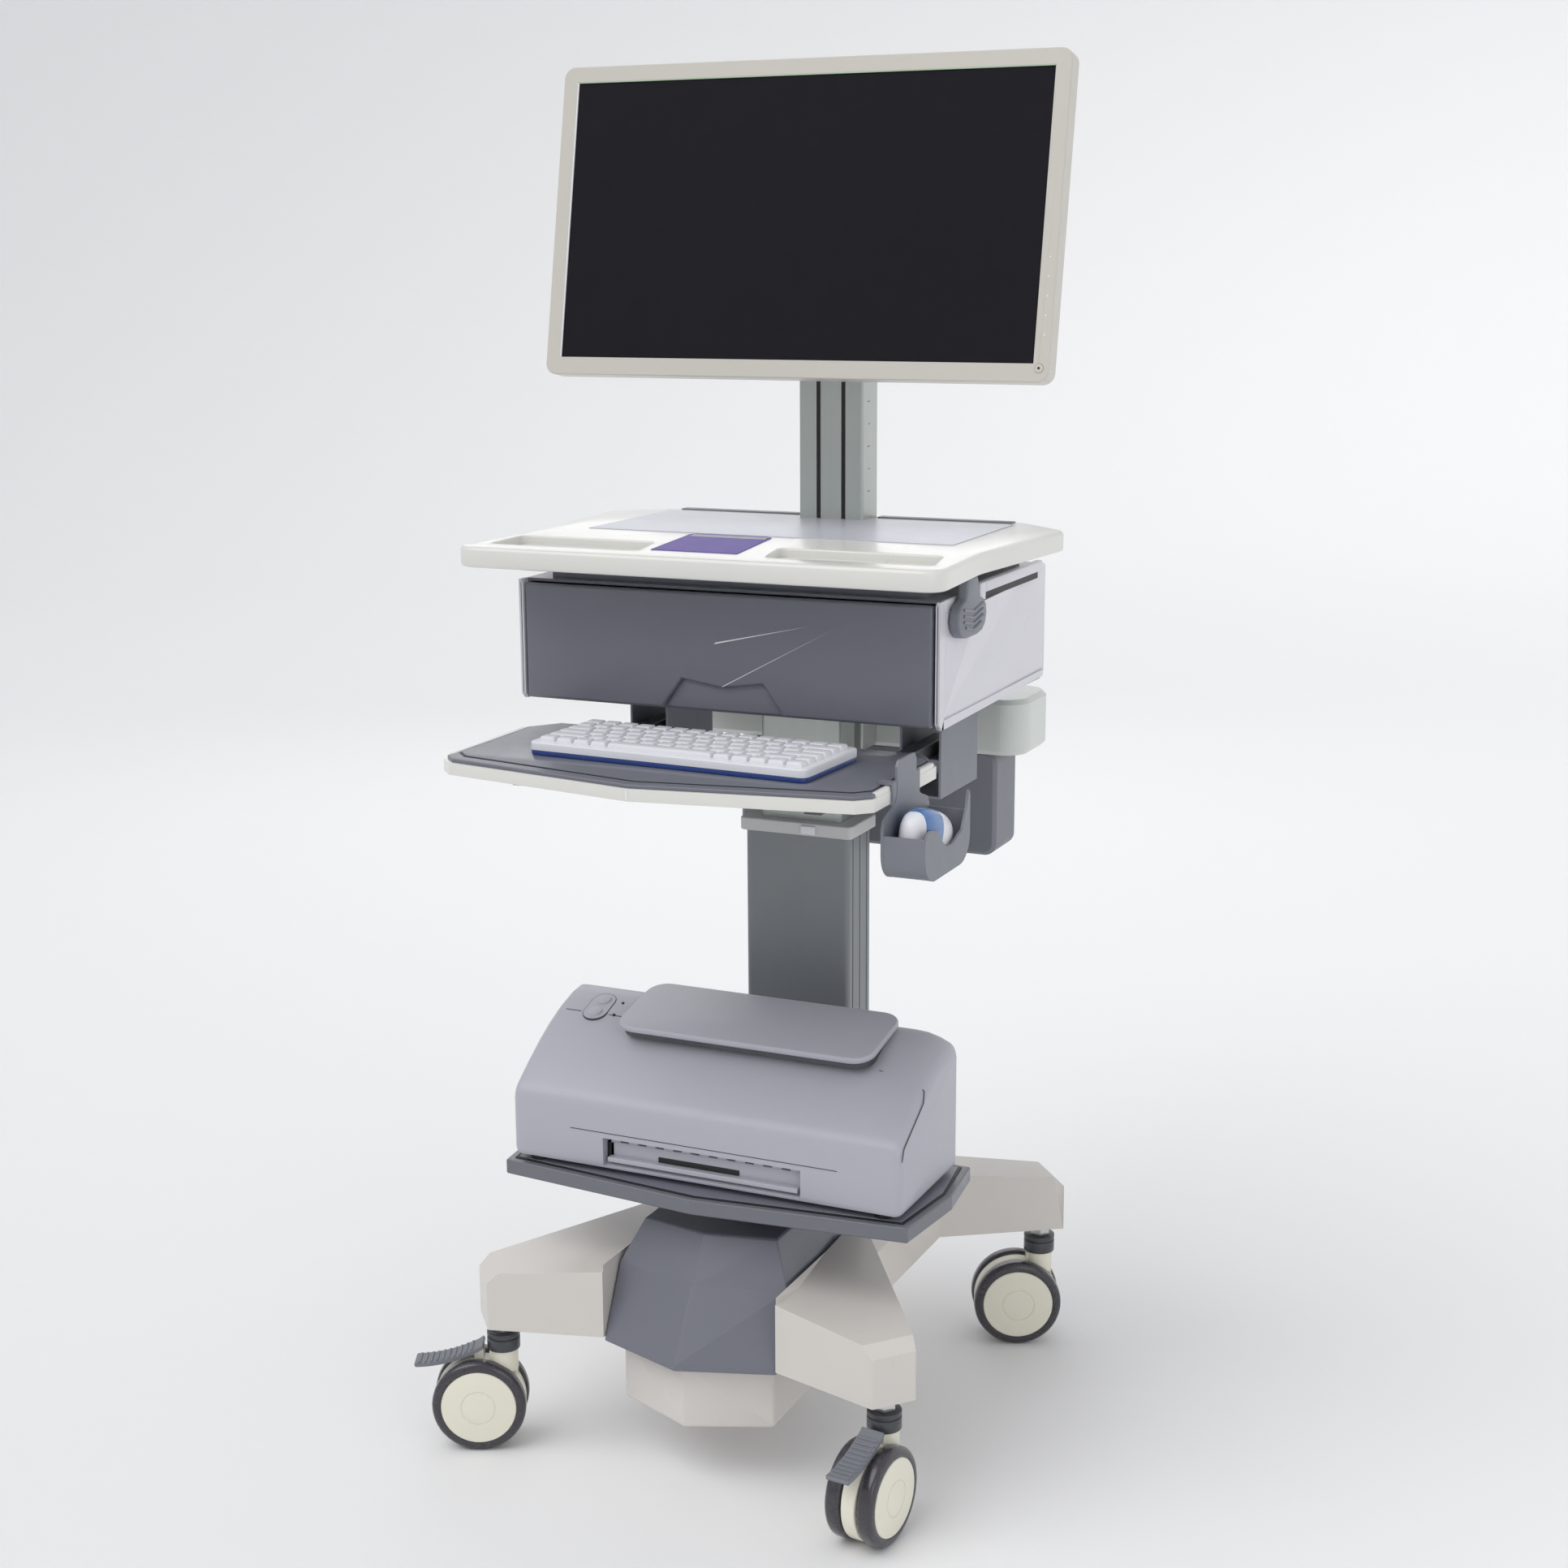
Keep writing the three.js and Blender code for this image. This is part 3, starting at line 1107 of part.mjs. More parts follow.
function underCabinet() {
  return [
    piece("keyboard_bracket_left", keyboardBracket(-1), COLLAR_GREY),
    piece("keyboard_bracket_right", keyboardBracket(1), COLLAR_GREY),
    piece("keyboard_tray", keyboardTray(), SLATE),
    keyboard(),
    piece("mouse_holder", mouseHolder(), PEDAL_GREY),
    piece("mouse", mouse(), KEY_WHITE),
    piece("rear_handle", rearHandle(), HANDLE_PALE),
    piece("power_box", powerBox(), PEDAL_GREY),
  ];
}

// ---- Monitor column and the carriage that runs on it ----
function slotBoxes(width, depth, z) {
  return [-SLOT_X, SLOT_X].map((x) => box([x - width / 2, x + width / 2], depth, z));
}

function monitorColumn() {
  const z = [POST_BOTTOM, POST_TOP];
  const profile = prism(rounded(POST_WIDTH, POST_DEPTH, POST_CORNER), z, 0, 2);
  const slots = slotBoxes(
    SLOT_WIDTH,
    [POST_FRONT_Y - PAST, POST_FRONT_Y + SLOT_DEPTH],
    [z[0] - PAST, z[1] + PAST],
  );
  const inside = POST_WIDTH / 2 - POST_WALL;
  const bore = box(
    [-inside, inside],
    [POST_FRONT_Y + POST_FRONT_WALL, POST_DEPTH / 2 - POST_WALL],
    [z[0] - PAST, z[1] - POST_WALL],
  );
  return cut(profile, ...slots, bore);
}

function monitorCarriage() {
  const rear = POST_FRONT_Y - GAP;
  const front = rear - CARRIAGE_DEPTH;
  const z = [HINGE_HEIGHT - CARRIAGE_HEIGHT / 2, HINGE_HEIGHT + CARRIAGE_HEIGHT / 2];
  const outline = roundedRectangle([-CARRIAGE_HALF, CARRIAGE_HALF], z, CARRIAGE_DEPTH / 2);
  const block = prismAlongY(outline, [front, rear], PAST);
  const depth = [rear - PAST, POST_FRONT_Y + SLOT_DEPTH - SLIDE_PLAY];
  const tongues = slotBoxes(SLOT_WIDTH - 2 * SLIDE_PLAY, depth, z);
  const earInner = HINGE_BARREL_HALF + SLIDE_PLAY;
  const earOuter = earInner + HINGE_EAR;
  const earY = [HINGE_Y - HINGE_BARREL_RADIUS, front + PAST];
  const earZ = [HINGE_HEIGHT - HINGE_BARREL_RADIUS, HINGE_HEIGHT + HINGE_BARREL_RADIUS];
  const left = box([-earOuter, -earInner], earY, earZ);
  const right = box([earInner, earOuter], earY, earZ);
  const pin = alongX(HINGE_PIN_RADIUS, [-earOuter, earOuter], [HINGE_Y, HINGE_HEIGHT]);
  return join(block, ...tongues, left, right, pin);
}

// ---- Monitor, built upright with its tilt hinge on y = 0, z = 0 ----
const PANEL_REAR_Y = -HINGE_TO_BACK - BACK_DEPTH;
const PANEL_FRONT_Y = PANEL_REAR_Y - MONITOR_THICK;

function tiltHead() {
  const front = -HINGE_TO_BACK + GAP;
  const half = PLATE_SIZE / 2;
  const plate = box([-half, half], [front, front + PLATE_THICK], [-half, half]);
  const arm = box(
    [-HINGE_BARREL_HALF, HINGE_BARREL_HALF],
    [front, 0],
    [-HINGE_BARREL_RADIUS, HINGE_BARREL_RADIUS],
  );
  const barrel = alongX(HINGE_BARREL_RADIUS, [-HINGE_BARREL_HALF, HINGE_BARREL_HALF], [0, 0]);
  return cut(join(plate, arm, barrel), alongX(HINGE_PIN_RADIUS + RUNNING, [-half, half], [0, 0]));
}

function screenOutline(inset) {
  const half = MONITOR_WIDTH / 2 - BEZEL_SIDE - inset;
  const low = -MONITOR_HEIGHT / 2 + BEZEL_BOTTOM + inset;
  const high = MONITOR_HEIGHT / 2 - BEZEL_TOP - inset;
  return roundedRectangle([-half, half], [low, high], GAP);
}

function monitorFrame() {
  const panel = rounded(MONITOR_WIDTH, MONITOR_HEIGHT, MONITOR_CORNER);
  const back = rounded(BACK_WIDTH, BACK_HEIGHT, BACK_CORNER);
  const slab = prismAlongY(panel, [PANEL_FRONT_Y, PANEL_REAR_Y], PAST, 4);
  const bulge = prismAlongY(back, [PANEL_REAR_Y - PAST, -HINGE_TO_BACK], BOX_CHAMFER / 2);
  const recessDepth = SCREEN_SET_BACK + SCREEN_THICK + GAP;
  const recess = prismAlongY(screenOutline(0), [PANEL_FRONT_Y - PAST, PANEL_FRONT_Y + recessDepth], 0, 2);
  const buttonZ = -MONITOR_HEIGHT / 2 + BUTTON_UP;
  const pocket = alongY(
    BUTTON_RADIUS + GAP,
    [PANEL_FRONT_Y - PAST, PANEL_FRONT_Y + BUTTON_POCKET],
    [BUTTON_X, buttonZ],
  );
  return cut(join(slab, bulge), recess, pocket);
}

function monitor() {
  const group = new THREE.Group();
  group.position.set(0, HINGE_Y, HINGE_HEIGHT);
  group.rotation.x = -radians(MONITOR_TILT);
  const screenFront = PANEL_FRONT_Y + SCREEN_SET_BACK;
  const screen = prismAlongY(screenOutline(GAP), [screenFront, screenFront + SCREEN_THICK], 0, 2);
  const buttonFront = PANEL_FRONT_Y - BUTTON_PROUD;
  const button = alongY(
    BUTTON_RADIUS,
    [buttonFront, buttonFront + BUTTON_THICK],
    [BUTTON_X, -MONITOR_HEIGHT / 2 + BUTTON_UP],
  );
  group.add(piece("tilt_head", tiltHead(), DARK_STEEL));
  group.add(piece("monitor_frame", monitorFrame(), BEZEL_SILVER));
  group.add(piece("monitor_screen", screen, SCREEN_BLACK));
  group.add(piece("monitor_power_button", button, BEZEL_SILVER));
  return group;
}

// ---- Printer shelf and printer ----
function printerShelf() {
  const z = [SHELF_TOP - SHELF_THICK, SHELF_TOP];
  const plan = polygon([
    [0, SHELF_CREASE_Y],
    [SHELF_HALF, SHELF_FRONT_Y],
    [SHELF_SIDE_HALF, SHELF_SIDE_Y],
    [SHELF_HALF, SHELF_REAR_Y],
    [-SHELF_HALF, SHELF_REAR_Y],
    [-SHELF_SIDE_HALF, SHELF_SIDE_Y],
    [-SHELF_HALF, SHELF_FRONT_Y],
  ]);
  const armZ = [SHELF_TOP - SHELF_ARM_DEPTH, SHELF_TOP];
  const armY = [SHELF_SIDE_Y, COLUMN_FRONT_Y - GAP];
  return join(prism(plan, z, PAST), box([-SHELF_ARM_HALF, SHELF_ARM_HALF], armY, armZ));
}

const TOP_EDGE_Y = PRINTER_REAR_Y - PRINTER_REAR_RUN;
const SHOULDER_Y = PRINTER_FRONT_Y + PRINTER_SHOULDER_RUN;
const TOP_SLOPE = (PRINTER_TOP_HEIGHT - PRINTER_SHOULDER_HEIGHT) / (TOP_EDGE_Y - SHOULDER_Y);
const LID_AXIS_Y = TOP_EDGE_Y;
const LID_AXIS_Z = PRINTER_BOTTOM + PRINTER_TOP_HEIGHT;

// Height of the printer's sloping top.
function printerTopAt(y) {
  return PRINTER_BOTTOM + PRINTER_SHOULDER_HEIGHT + TOP_SLOPE * (y - SHOULDER_Y);
}

function printerBody() {
  const bottom = PRINTER_BOTTOM;
  const outline = polygon([
    [PRINTER_FRONT_Y, bottom],
    [PRINTER_REAR_Y, bottom],
    [TOP_EDGE_Y, bottom + PRINTER_TOP_HEIGHT],
    [SHOULDER_Y, bottom + PRINTER_SHOULDER_HEIGHT],
    [PRINTER_FRONT_Y, bottom + PRINTER_FACE_HEIGHT],
  ]);
  const block = prismAlongX(outline, [-PRINTER_HALF, PRINTER_HALF], PRINTER_EDGE / 2);
  const slot = box(
    [-SLOT_OUT_HALF, SLOT_OUT_HALF],
    [PRINTER_FRONT_Y - PAST, PRINTER_FRONT_Y + SLOT_OUT_DEPTH],
    [bottom + SLOT_OUT_LOW, bottom + SLOT_OUT_HIGH],
  );
  const inside = PRINTER_HALF - PRINTER_EDGE;
  const hollow = box(
    [-inside, inside],
    [PRINTER_FRONT_Y + SLOT_OUT_DEPTH + PRINTER_WALL, TOP_EDGE_Y - PRINTER_WALL],
    [bottom - PAST, bottom + PRINTER_SHOULDER_HEIGHT - PRINTER_WALL],
  );
  const rebate = box(
    [LID_LEFT - SLIDE_PLAY, LID_RIGHT + SLIDE_PLAY],
    [LID_AXIS_Y - LID_BARREL_RADIUS - RUNNING, PRINTER_REAR_Y + PAST],
    [LID_AXIS_Z - LID_REBATE, LID_AXIS_Z + LID_REBATE],
  );
  const stubEnds = [LID_LEFT - LID_STUB - GAP, LID_RIGHT + LID_STUB + GAP];
  const stubBore = alongX(LID_STUB_RADIUS + RUNNING, stubEnds, [LID_AXIS_Y, LID_AXIS_Z - LID_BARREL_RADIUS]);
  const pockets = [0, 1].map((index) => {
    const y = PRINTER_REAR_Y - KEY_FROM_REAR - index * KEY_SPACING;
    return bar(KEY_RADIUS + GAP, [printerTopAt(y) - KEY_POCKET, LID_AXIS_Z + PAST]).translate([KEY_X, y, 0]);
  });
  const feet = [];
  for (const x of [-PRINTER_FOOT_X, PRINTER_FOOT_X]) {
    for (const y of [PRINTER_FRONT_Y + 2 * PRINTER_FOOT_HALF, TOP_EDGE_Y - PRINTER_FOOT_HALF / 4]) {
      feet.push(bar(PRINTER_FOOT_HALF / 2, [SHELF_TOP + GAP, bottom + PAST]).translate([x, y, 0]));
    }
  }
  return join(cut(block, slot, hollow, rebate, stubBore, ...pockets), ...feet);
}

function printerLid() {
  const under = (y) => printerTopAt(y) + LID_GAP;
  const axisZ = LID_AXIS_Z - LID_BARREL_RADIUS;
  const rear = LID_AXIS_Y + LID_BARREL_RADIUS;
  const outline = polygon([
    [LID_FRONT_Y, under(LID_FRONT_Y)],
    [rear, under(rear)],
    [rear, under(rear) + LID_THICK - LID_CHAMFER],
    [LID_FRONT_Y + LID_THICK, under(LID_FRONT_Y) + LID_THICK],
    [LID_FRONT_Y, under(LID_FRONT_Y) + LID_THICK / 2],
  ]);
  const plate = prismAlongX(outline, [LID_LEFT, LID_RIGHT], LID_CHAMFER);
  const barrel = alongX(LID_BARREL_RADIUS, [LID_LEFT, LID_RIGHT], [LID_AXIS_Y, axisZ]);
  const half = LID_BARREL_RADIUS;
  const web = box([LID_LEFT, LID_RIGHT], [LID_AXIS_Y, LID_AXIS_Y + half], [axisZ, under(rear) + LID_CHAMFER]);
  const stub = alongX(LID_STUB_RADIUS, [LID_LEFT - LID_STUB, LID_RIGHT + LID_STUB], [LID_AXIS_Y, axisZ]);
  return join(plate, barrel, web, stub);
}

function printerKey(index) {
  const y = PRINTER_REAR_Y - KEY_FROM_REAR - index * KEY_SPACING;
  const low = printerTopAt(y) - KEY_THICK + GAP;
  return bar(KEY_RADIUS, [low, low + KEY_THICK]).translate([KEY_X, y, 0]);
}

function printer() {
  return [
    piece("printer_shelf", printerShelf(), COLUMN_GREY),
    piece("printer_body", printerBody(), PRINTER_SILVER),
    piece("printer_lid", printerLid(), PRINTER_SILVER),
    piece("printer_power_button", printerKey(0), PRINTER_SILVER),
    piece("printer_feed_button", printerKey(1), PRINTER_SILVER),
  ];
}

// ---- The whole cart ----
const cart = new THREE.Group();
cart.name = "medication_cart";
cart.add(casters());
cart.add(...base());
cart.add(liftColumn());
cart.add(...cabinet());
cart.add(piece("work_surface", workSurface(), TOP_WHITE));
cart.add(piece("lift_lever", liftLever(), PEDAL_GREY));
cart.add(...underCabinet());
cart.add(piece("monitor_column", monitorColumn(), PALE_ALUMINIUM));
cart.add(piece("monitor_carriage", monitorCarriage(), DARK_STEEL));
cart.add(monitor());
cart.add(...printer());
const extent = new THREE.Box3().setFromObject(cart);
cart.position.x = -(extent.min.x + extent.max.x) / 2;
cart.position.y = -(extent.min.y + extent.max.y) / 2;

export default cart;
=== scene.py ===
"""Medication cart: finishes, moulded detail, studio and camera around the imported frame."""
import json
import math

import bmesh
import bpy
from mathutils import Matrix, Vector


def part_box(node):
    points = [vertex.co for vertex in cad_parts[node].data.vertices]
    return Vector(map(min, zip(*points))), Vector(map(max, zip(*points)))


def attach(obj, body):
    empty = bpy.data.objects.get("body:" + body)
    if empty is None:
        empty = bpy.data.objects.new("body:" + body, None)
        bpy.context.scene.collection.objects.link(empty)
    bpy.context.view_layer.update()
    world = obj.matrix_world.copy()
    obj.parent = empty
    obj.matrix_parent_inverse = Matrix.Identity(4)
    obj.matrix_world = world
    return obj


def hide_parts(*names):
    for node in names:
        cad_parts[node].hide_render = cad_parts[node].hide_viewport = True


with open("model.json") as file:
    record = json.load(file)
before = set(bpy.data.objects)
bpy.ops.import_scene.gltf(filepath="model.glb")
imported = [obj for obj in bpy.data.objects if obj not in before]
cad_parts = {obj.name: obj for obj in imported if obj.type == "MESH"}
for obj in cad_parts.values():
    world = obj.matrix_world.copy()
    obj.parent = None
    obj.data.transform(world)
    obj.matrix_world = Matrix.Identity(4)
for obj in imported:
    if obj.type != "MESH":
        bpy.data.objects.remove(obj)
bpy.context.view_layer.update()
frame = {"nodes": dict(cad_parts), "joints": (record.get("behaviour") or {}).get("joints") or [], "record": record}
MM = 0.001


# ---- Places ----
def middle_of(node):
    low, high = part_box(node)
    return (Vector(low) + Vector(high)) / 2


COLUMN_MIDDLE = middle_of("monitor_column")


def place(x, y, z):
    """A point in metres from millimetres, measured from the floor under the monitor column."""
    return Vector((COLUMN_MIDDLE.x + x * MM, COLUMN_MIDDLE.y + y * MM, z * MM))


def millimetres(node):
    """Lowest and highest corners of a CAD node, in millimetres from the same point as place()."""
    low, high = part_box(node)
    shift = Vector((COLUMN_MIDDLE.x, COLUMN_MIDDLE.y, 0))
    return (Vector(low) - shift) / MM, (Vector(high) - shift) / MM


SHIFT = Matrix.Translation((COLUMN_MIDDLE.x, COLUMN_MIDDLE.y, 0)) @ Matrix.Scale(MM, 4)
UPRIGHT = Matrix.Identity(4)


# ---- Studio and camera ----
def set_camera():
    data = bpy.data.cameras.new("camera")
    data.lens, data.sensor_width = 56.0, 36
    data.shift_x, data.shift_y = 0.0276, 0.0063
    camera = bpy.data.objects.new("camera", data)
    bpy.context.scene.collection.objects.link(camera)
    yaw, pitch, roll = 0.4436, 0.2241, -0.0086
    forward = Vector((-math.sin(yaw) * math.cos(pitch), math.cos(yaw) * math.cos(pitch), -math.sin(pitch)))
    level = Vector((math.cos(yaw), math.sin(yaw), 0))
    upward = level.cross(forward)
    right = level * math.cos(roll) + upward * math.sin(roll)
    up = right.cross(forward)
    turn = Matrix((right, up, -forward)).transposed().to_4x4()
    camera.matrix_world = Matrix.Translation(place(1044.8, -2453.5, 1255.9)) @ turn
    bpy.context.scene.camera = camera


def area_light(name, spot, target, size, power):
    data = bpy.data.lights.new(name, "AREA")
    data.size = size
    data.energy = power
    lamp = bpy.data.objects.new(name, data)
    bpy.context.scene.collection.objects.link(lamp)
    lamp.location = spot
    aim = Vector(target) - Vector(spot)
    lamp.rotation_euler = aim.to_track_quat("-Z", "Y").to_euler()


def set_studio():
    world = bpy.data.worlds.new("studio")
    bpy.context.scene.world = world
    world.use_nodes = True
    backdrop = world.node_tree.nodes["Background"]
    backdrop.inputs["Color"].default_value = (0.97, 0.98, 1.0, 1)
    backdrop.inputs["Strength"].default_value = 0.62
    sun = bpy.data.lights.new("sun", "SUN")
    sun.energy = 1.25
    sun.angle = math.radians(50)
    lamp = bpy.data.objects.new("sun", sun)
    bpy.context.scene.collection.objects.link(lamp)
    lamp.rotation_euler = Vector((0.45, 0.62, -1.0)).to_track_quat("-Z", "Y").to_euler()
    area_light("side_light", (2.6, -2.2, 1.6), (0, 0, 0.8), 1.6, 9)
    area_light("rear_light", (-1.6, 2.9, 2.2), (0, 0, 0.8), 2.0, 9)
    make_floor()
    bpy.context.scene.view_settings.view_transform = "Standard"


def make_floor():
    """A round floor, in metres, that curves up into a wall all the way round."""
    floor_radius, curve_radius, wall_height, steps = 6.5, 3, 7, 12
    profile = [(0.001, 0)]
    for k in range(steps + 1):
        angle = k * math.pi / 2 / steps
        profile.append((floor_radius + curve_radius * math.sin(angle), curve_radius * (1 - math.cos(angle))))
    profile.append((floor_radius + curve_radius, wall_height))
    bm = bmesh.new()
    verts = [bm.verts.new((radius, 0, height)) for radius, height in profile]
    edges = [bm.edges.new(pair) for pair in zip(verts, verts[1:])]
    bmesh.ops.spin(
        bm, geom=verts + edges, cent=(0, 0, 0), axis=(0, 0, 1), angle=2 * math.pi, steps=72, use_merge=True
    )
    for face in bm.faces:
        face.smooth = True
    floor = mesh_object("studio_floor", bm)
    floor.data.materials.append(plain_floor())


def mesh_object(name, bm):
    mesh = bpy.data.meshes.new(name)
    bm.to_mesh(mesh)
    bm.free()
    made = bpy.data.objects.new(name, mesh)
    bpy.context.scene.collection.objects.link(made)
    return made


# ---- Shader groups ----
def new_group(name, inputs, outputs):
    tree = bpy.data.node_groups.new(name, "ShaderNodeTree")
    for label, kind, value in inputs:
        socket = tree.interface.new_socket(label, in_out="INPUT", socket_type=kind)
        if value is not None:
            socket.default_value = value
    for label, kind in outputs:
        tree.interface.new_socket(label, in_out="OUTPUT", socket_type=kind)
    return tree, tree.nodes.new("NodeGroupInput"), tree.nodes.new("NodeGroupOutput")


def noise(tree, vector, scale, detail=3.0, roughness=0.55):
    node = tree.nodes.new("ShaderNodeTexNoise")
    node.inputs["Detail"].default_value = detail
    node.inputs["Roughness"].default_value = roughness
    tree.links.new(vector, node.inputs["Vector"])
    if isinstance(scale, (int, float)):
        node.inputs["Scale"].default_value = scale
    else:
        tree.links.new(scale, node.inputs["Scale"])
    return node.outputs["Fac"]


def maths(tree, operation, first, second, third=None):
    node = tree.nodes.new("ShaderNodeMath")
    node.operation = operation
    for socket, value in zip(node.inputs, (first, second, third)):
        if value is None:
            continue
        if isinstance(value, (int, float)):
            socket.default_value = value
        else:
            tree.links.new(value, socket)
    return node.outputs[0]


def mixed(tree, factor, first, second, blend="MIX"):
    node = tree.nodes.new("ShaderNodeMix")
    node.data_type = "RGBA"
    node.blend_type = blend
    for index, value in ((0, factor), (6, first), (7, second)):
        socket = node.inputs[index]
        if isinstance(value, (int, float)):
            socket.default_value = value
        elif isinstance(value, tuple):
            socket.default_value = (*value, 1)
        else:
            tree.links.new(value, socket)
    return node.outputs[2]


def ranged(tree, value, low, high, new_low, new_high):
    node = tree.nodes.new("ShaderNodeMapRange")
    for index, number in zip((1, 2, 3, 4), (low, high, new_low, new_high)):
        node.inputs[index].default_value = number
    tree.links.new(value, node.inputs[0])
    return node.outputs[0]


def make_moulded_skin():
    """Moulded plastic or paint: cloudy tone, a fine pebble, faint handling marks that dull the gloss."""
    tree, given, out = new_group(
        "moulded_skin",
        [
            ("Vector", "NodeSocketVector", None),
            ("Colour", "NodeSocketColor", None),
            ("Tone", "NodeSocketFloat", 0.05),
            ("Roughness", "NodeSocketFloat", 0.4),
            ("Grain", "NodeSocketFloat", 900.0),
            ("Soiling", "NodeSocketFloat", 0.1),
        ],
        [("Colour", "NodeSocketColor"), ("Roughness", "NodeSocketFloat"), ("Height", "NodeSocketFloat")],
    )
    clouds = noise(tree, given.outputs["Vector"], 5.0, 4.0)
    marks = noise(tree, given.outputs["Vector"], 38.0, 6.0, 0.7)
    pebble = noise(tree, given.outputs["Vector"], given.outputs["Grain"], 2.0)
    tone = maths(tree, "MULTIPLY", clouds, given.outputs["Tone"])
    shaded = mixed(tree, tone, given.outputs["Colour"], (0.10, 0.10, 0.11))
    spots = ranged(tree, marks, 0.62, 0.82, 0.0, 1.0)
    soiled = maths(tree, "MULTIPLY", spots, given.outputs["Soiling"])
    tree.links.new(mixed(tree, soiled, shaded, (0.30, 0.27, 0.22)), out.inputs["Colour"])
    wander = ranged(tree, marks, 0.2, 0.8, -0.05, 0.07)
    tree.links.new(maths(tree, "ADD", given.outputs["Roughness"], wander), out.inputs["Roughness"])
    tree.links.new(pebble, out.inputs["Height"])
    return tree


def make_drawn_metal():
    """Extruded or brushed metal: long fine lines along Z and a slow change of tone."""
    tree, given, out = new_group(
        "drawn_metal",
        [
            ("Vector", "NodeSocketVector", None),
            ("Colour", "NodeSocketColor", None),
            ("Roughness", "NodeSocketFloat", 0.35),
            ("Lines", "NodeSocketFloat", 0.06),
        ],
        [("Colour", "NodeSocketColor"), ("Roughness", "NodeSocketFloat"), ("Height", "NodeSocketFloat")],
    )
    stretch = tree.nodes.new("ShaderNodeMapping")
    stretch.inputs["Scale"].default_value = (900, 900, 5)
    tree.links.new(given.outputs["Vector"], stretch.inputs["Vector"])
    lines = noise(tree, stretch.outputs["Vector"], 1.0, 3.0)
    clouds = noise(tree, given.outputs["Vector"], 4.0, 3.0)
    depth = maths(tree, "MULTIPLY", lines, given.outputs["Lines"])
    lined = mixed(tree, depth, given.outputs["Colour"], (0.05, 0.05, 0.05))
    tone = ranged(tree, clouds, 0.2, 0.8, 0.0, 0.08)
    tree.links.new(mixed(tree, tone, lined, (0.9, 0.92, 0.88)), out.inputs["Colour"])
    wander = ranged(tree, lines, 0.2, 0.8, -0.06, 0.08)
    tree.links.new(maths(tree, "ADD", given.outputs["Roughness"], wander), out.inputs["Roughness"])
    tree.links.new(lines, out.inputs["Height"])
    return tree


MOULDED = make_moulded_skin()
DRAWN = make_drawn_metal()


def new_material(name):
    made = bpy.data.materials.new(name)
    made.use_nodes = True
    shader = made.node_tree.nodes["Principled BSDF"]
    where = made.node_tree.nodes.new("ShaderNodeTexCoord").outputs["Object"]
    return made, made.node_tree, shader, where


def add_group(tree, group, where, values):
    node = tree.nodes.new("ShaderNodeGroup")
    node.node_tree = group
    tree.links.new(where, node.inputs["Vector"])
    for label, value in values.items():
        node.inputs[label].default_value = (*value, 1) if isinstance(value, tuple) else value
    return node


def connect(tree, node, shader, strength, distance):
    bump = tree.nodes.new("ShaderNodeBump")
    bump.inputs["Strength"].default_value = strength
    bump.inputs["Distance"].default_value = distance
    tree.links.new(node.outputs["Height"], bump.inputs["Height"])
    tree.links.new(bump.outputs["Normal"], shader.inputs["Normal"])
    tree.links.new(node.outputs["Colour"], shader.inputs["Base Color"])
    tree.links.new(node.outputs["Roughness"], shader.inputs["Roughness"])


def linear(red, green, blue):
    """Linear colour of a screen colour given from 0 to 255."""
    share = [value / 255 for value in (red, green, blue)]
    return tuple(v / 12.92 if v <= 0.04045 else ((v + 0.055) / 1.055) ** 2.4 for v in share)


def plastic(name, colour, roughness=0.4, tone=0.06, grain=900.0, bump=0.12, soiling=0.05, coat=0.0):
    made, tree, shader, where = new_material(name)
    values = {"Colour": colour, "Tone": tone, "Roughness": roughness, "Grain": grain, "Soiling": soiling}
    node = add_group(tree, MOULDED, where, values)
    connect(tree, node, shader, bump, 0.0002)
    shader.inputs["Coat Weight"].default_value = coat
    shader.inputs["Coat Roughness"].default_value = 0.12
    return made


def metal(name, colour, roughness=0.35, lines=0.06, metallic=0.8, bump=0.15):
    made, tree, shader, where = new_material(name)
    node = add_group(tree, DRAWN, where, {"Colour": colour, "Roughness": roughness, "Lines": lines})
    connect(tree, node, shader, bump, 0.0001)
    shader.inputs["Metallic"].default_value = metallic
    return made


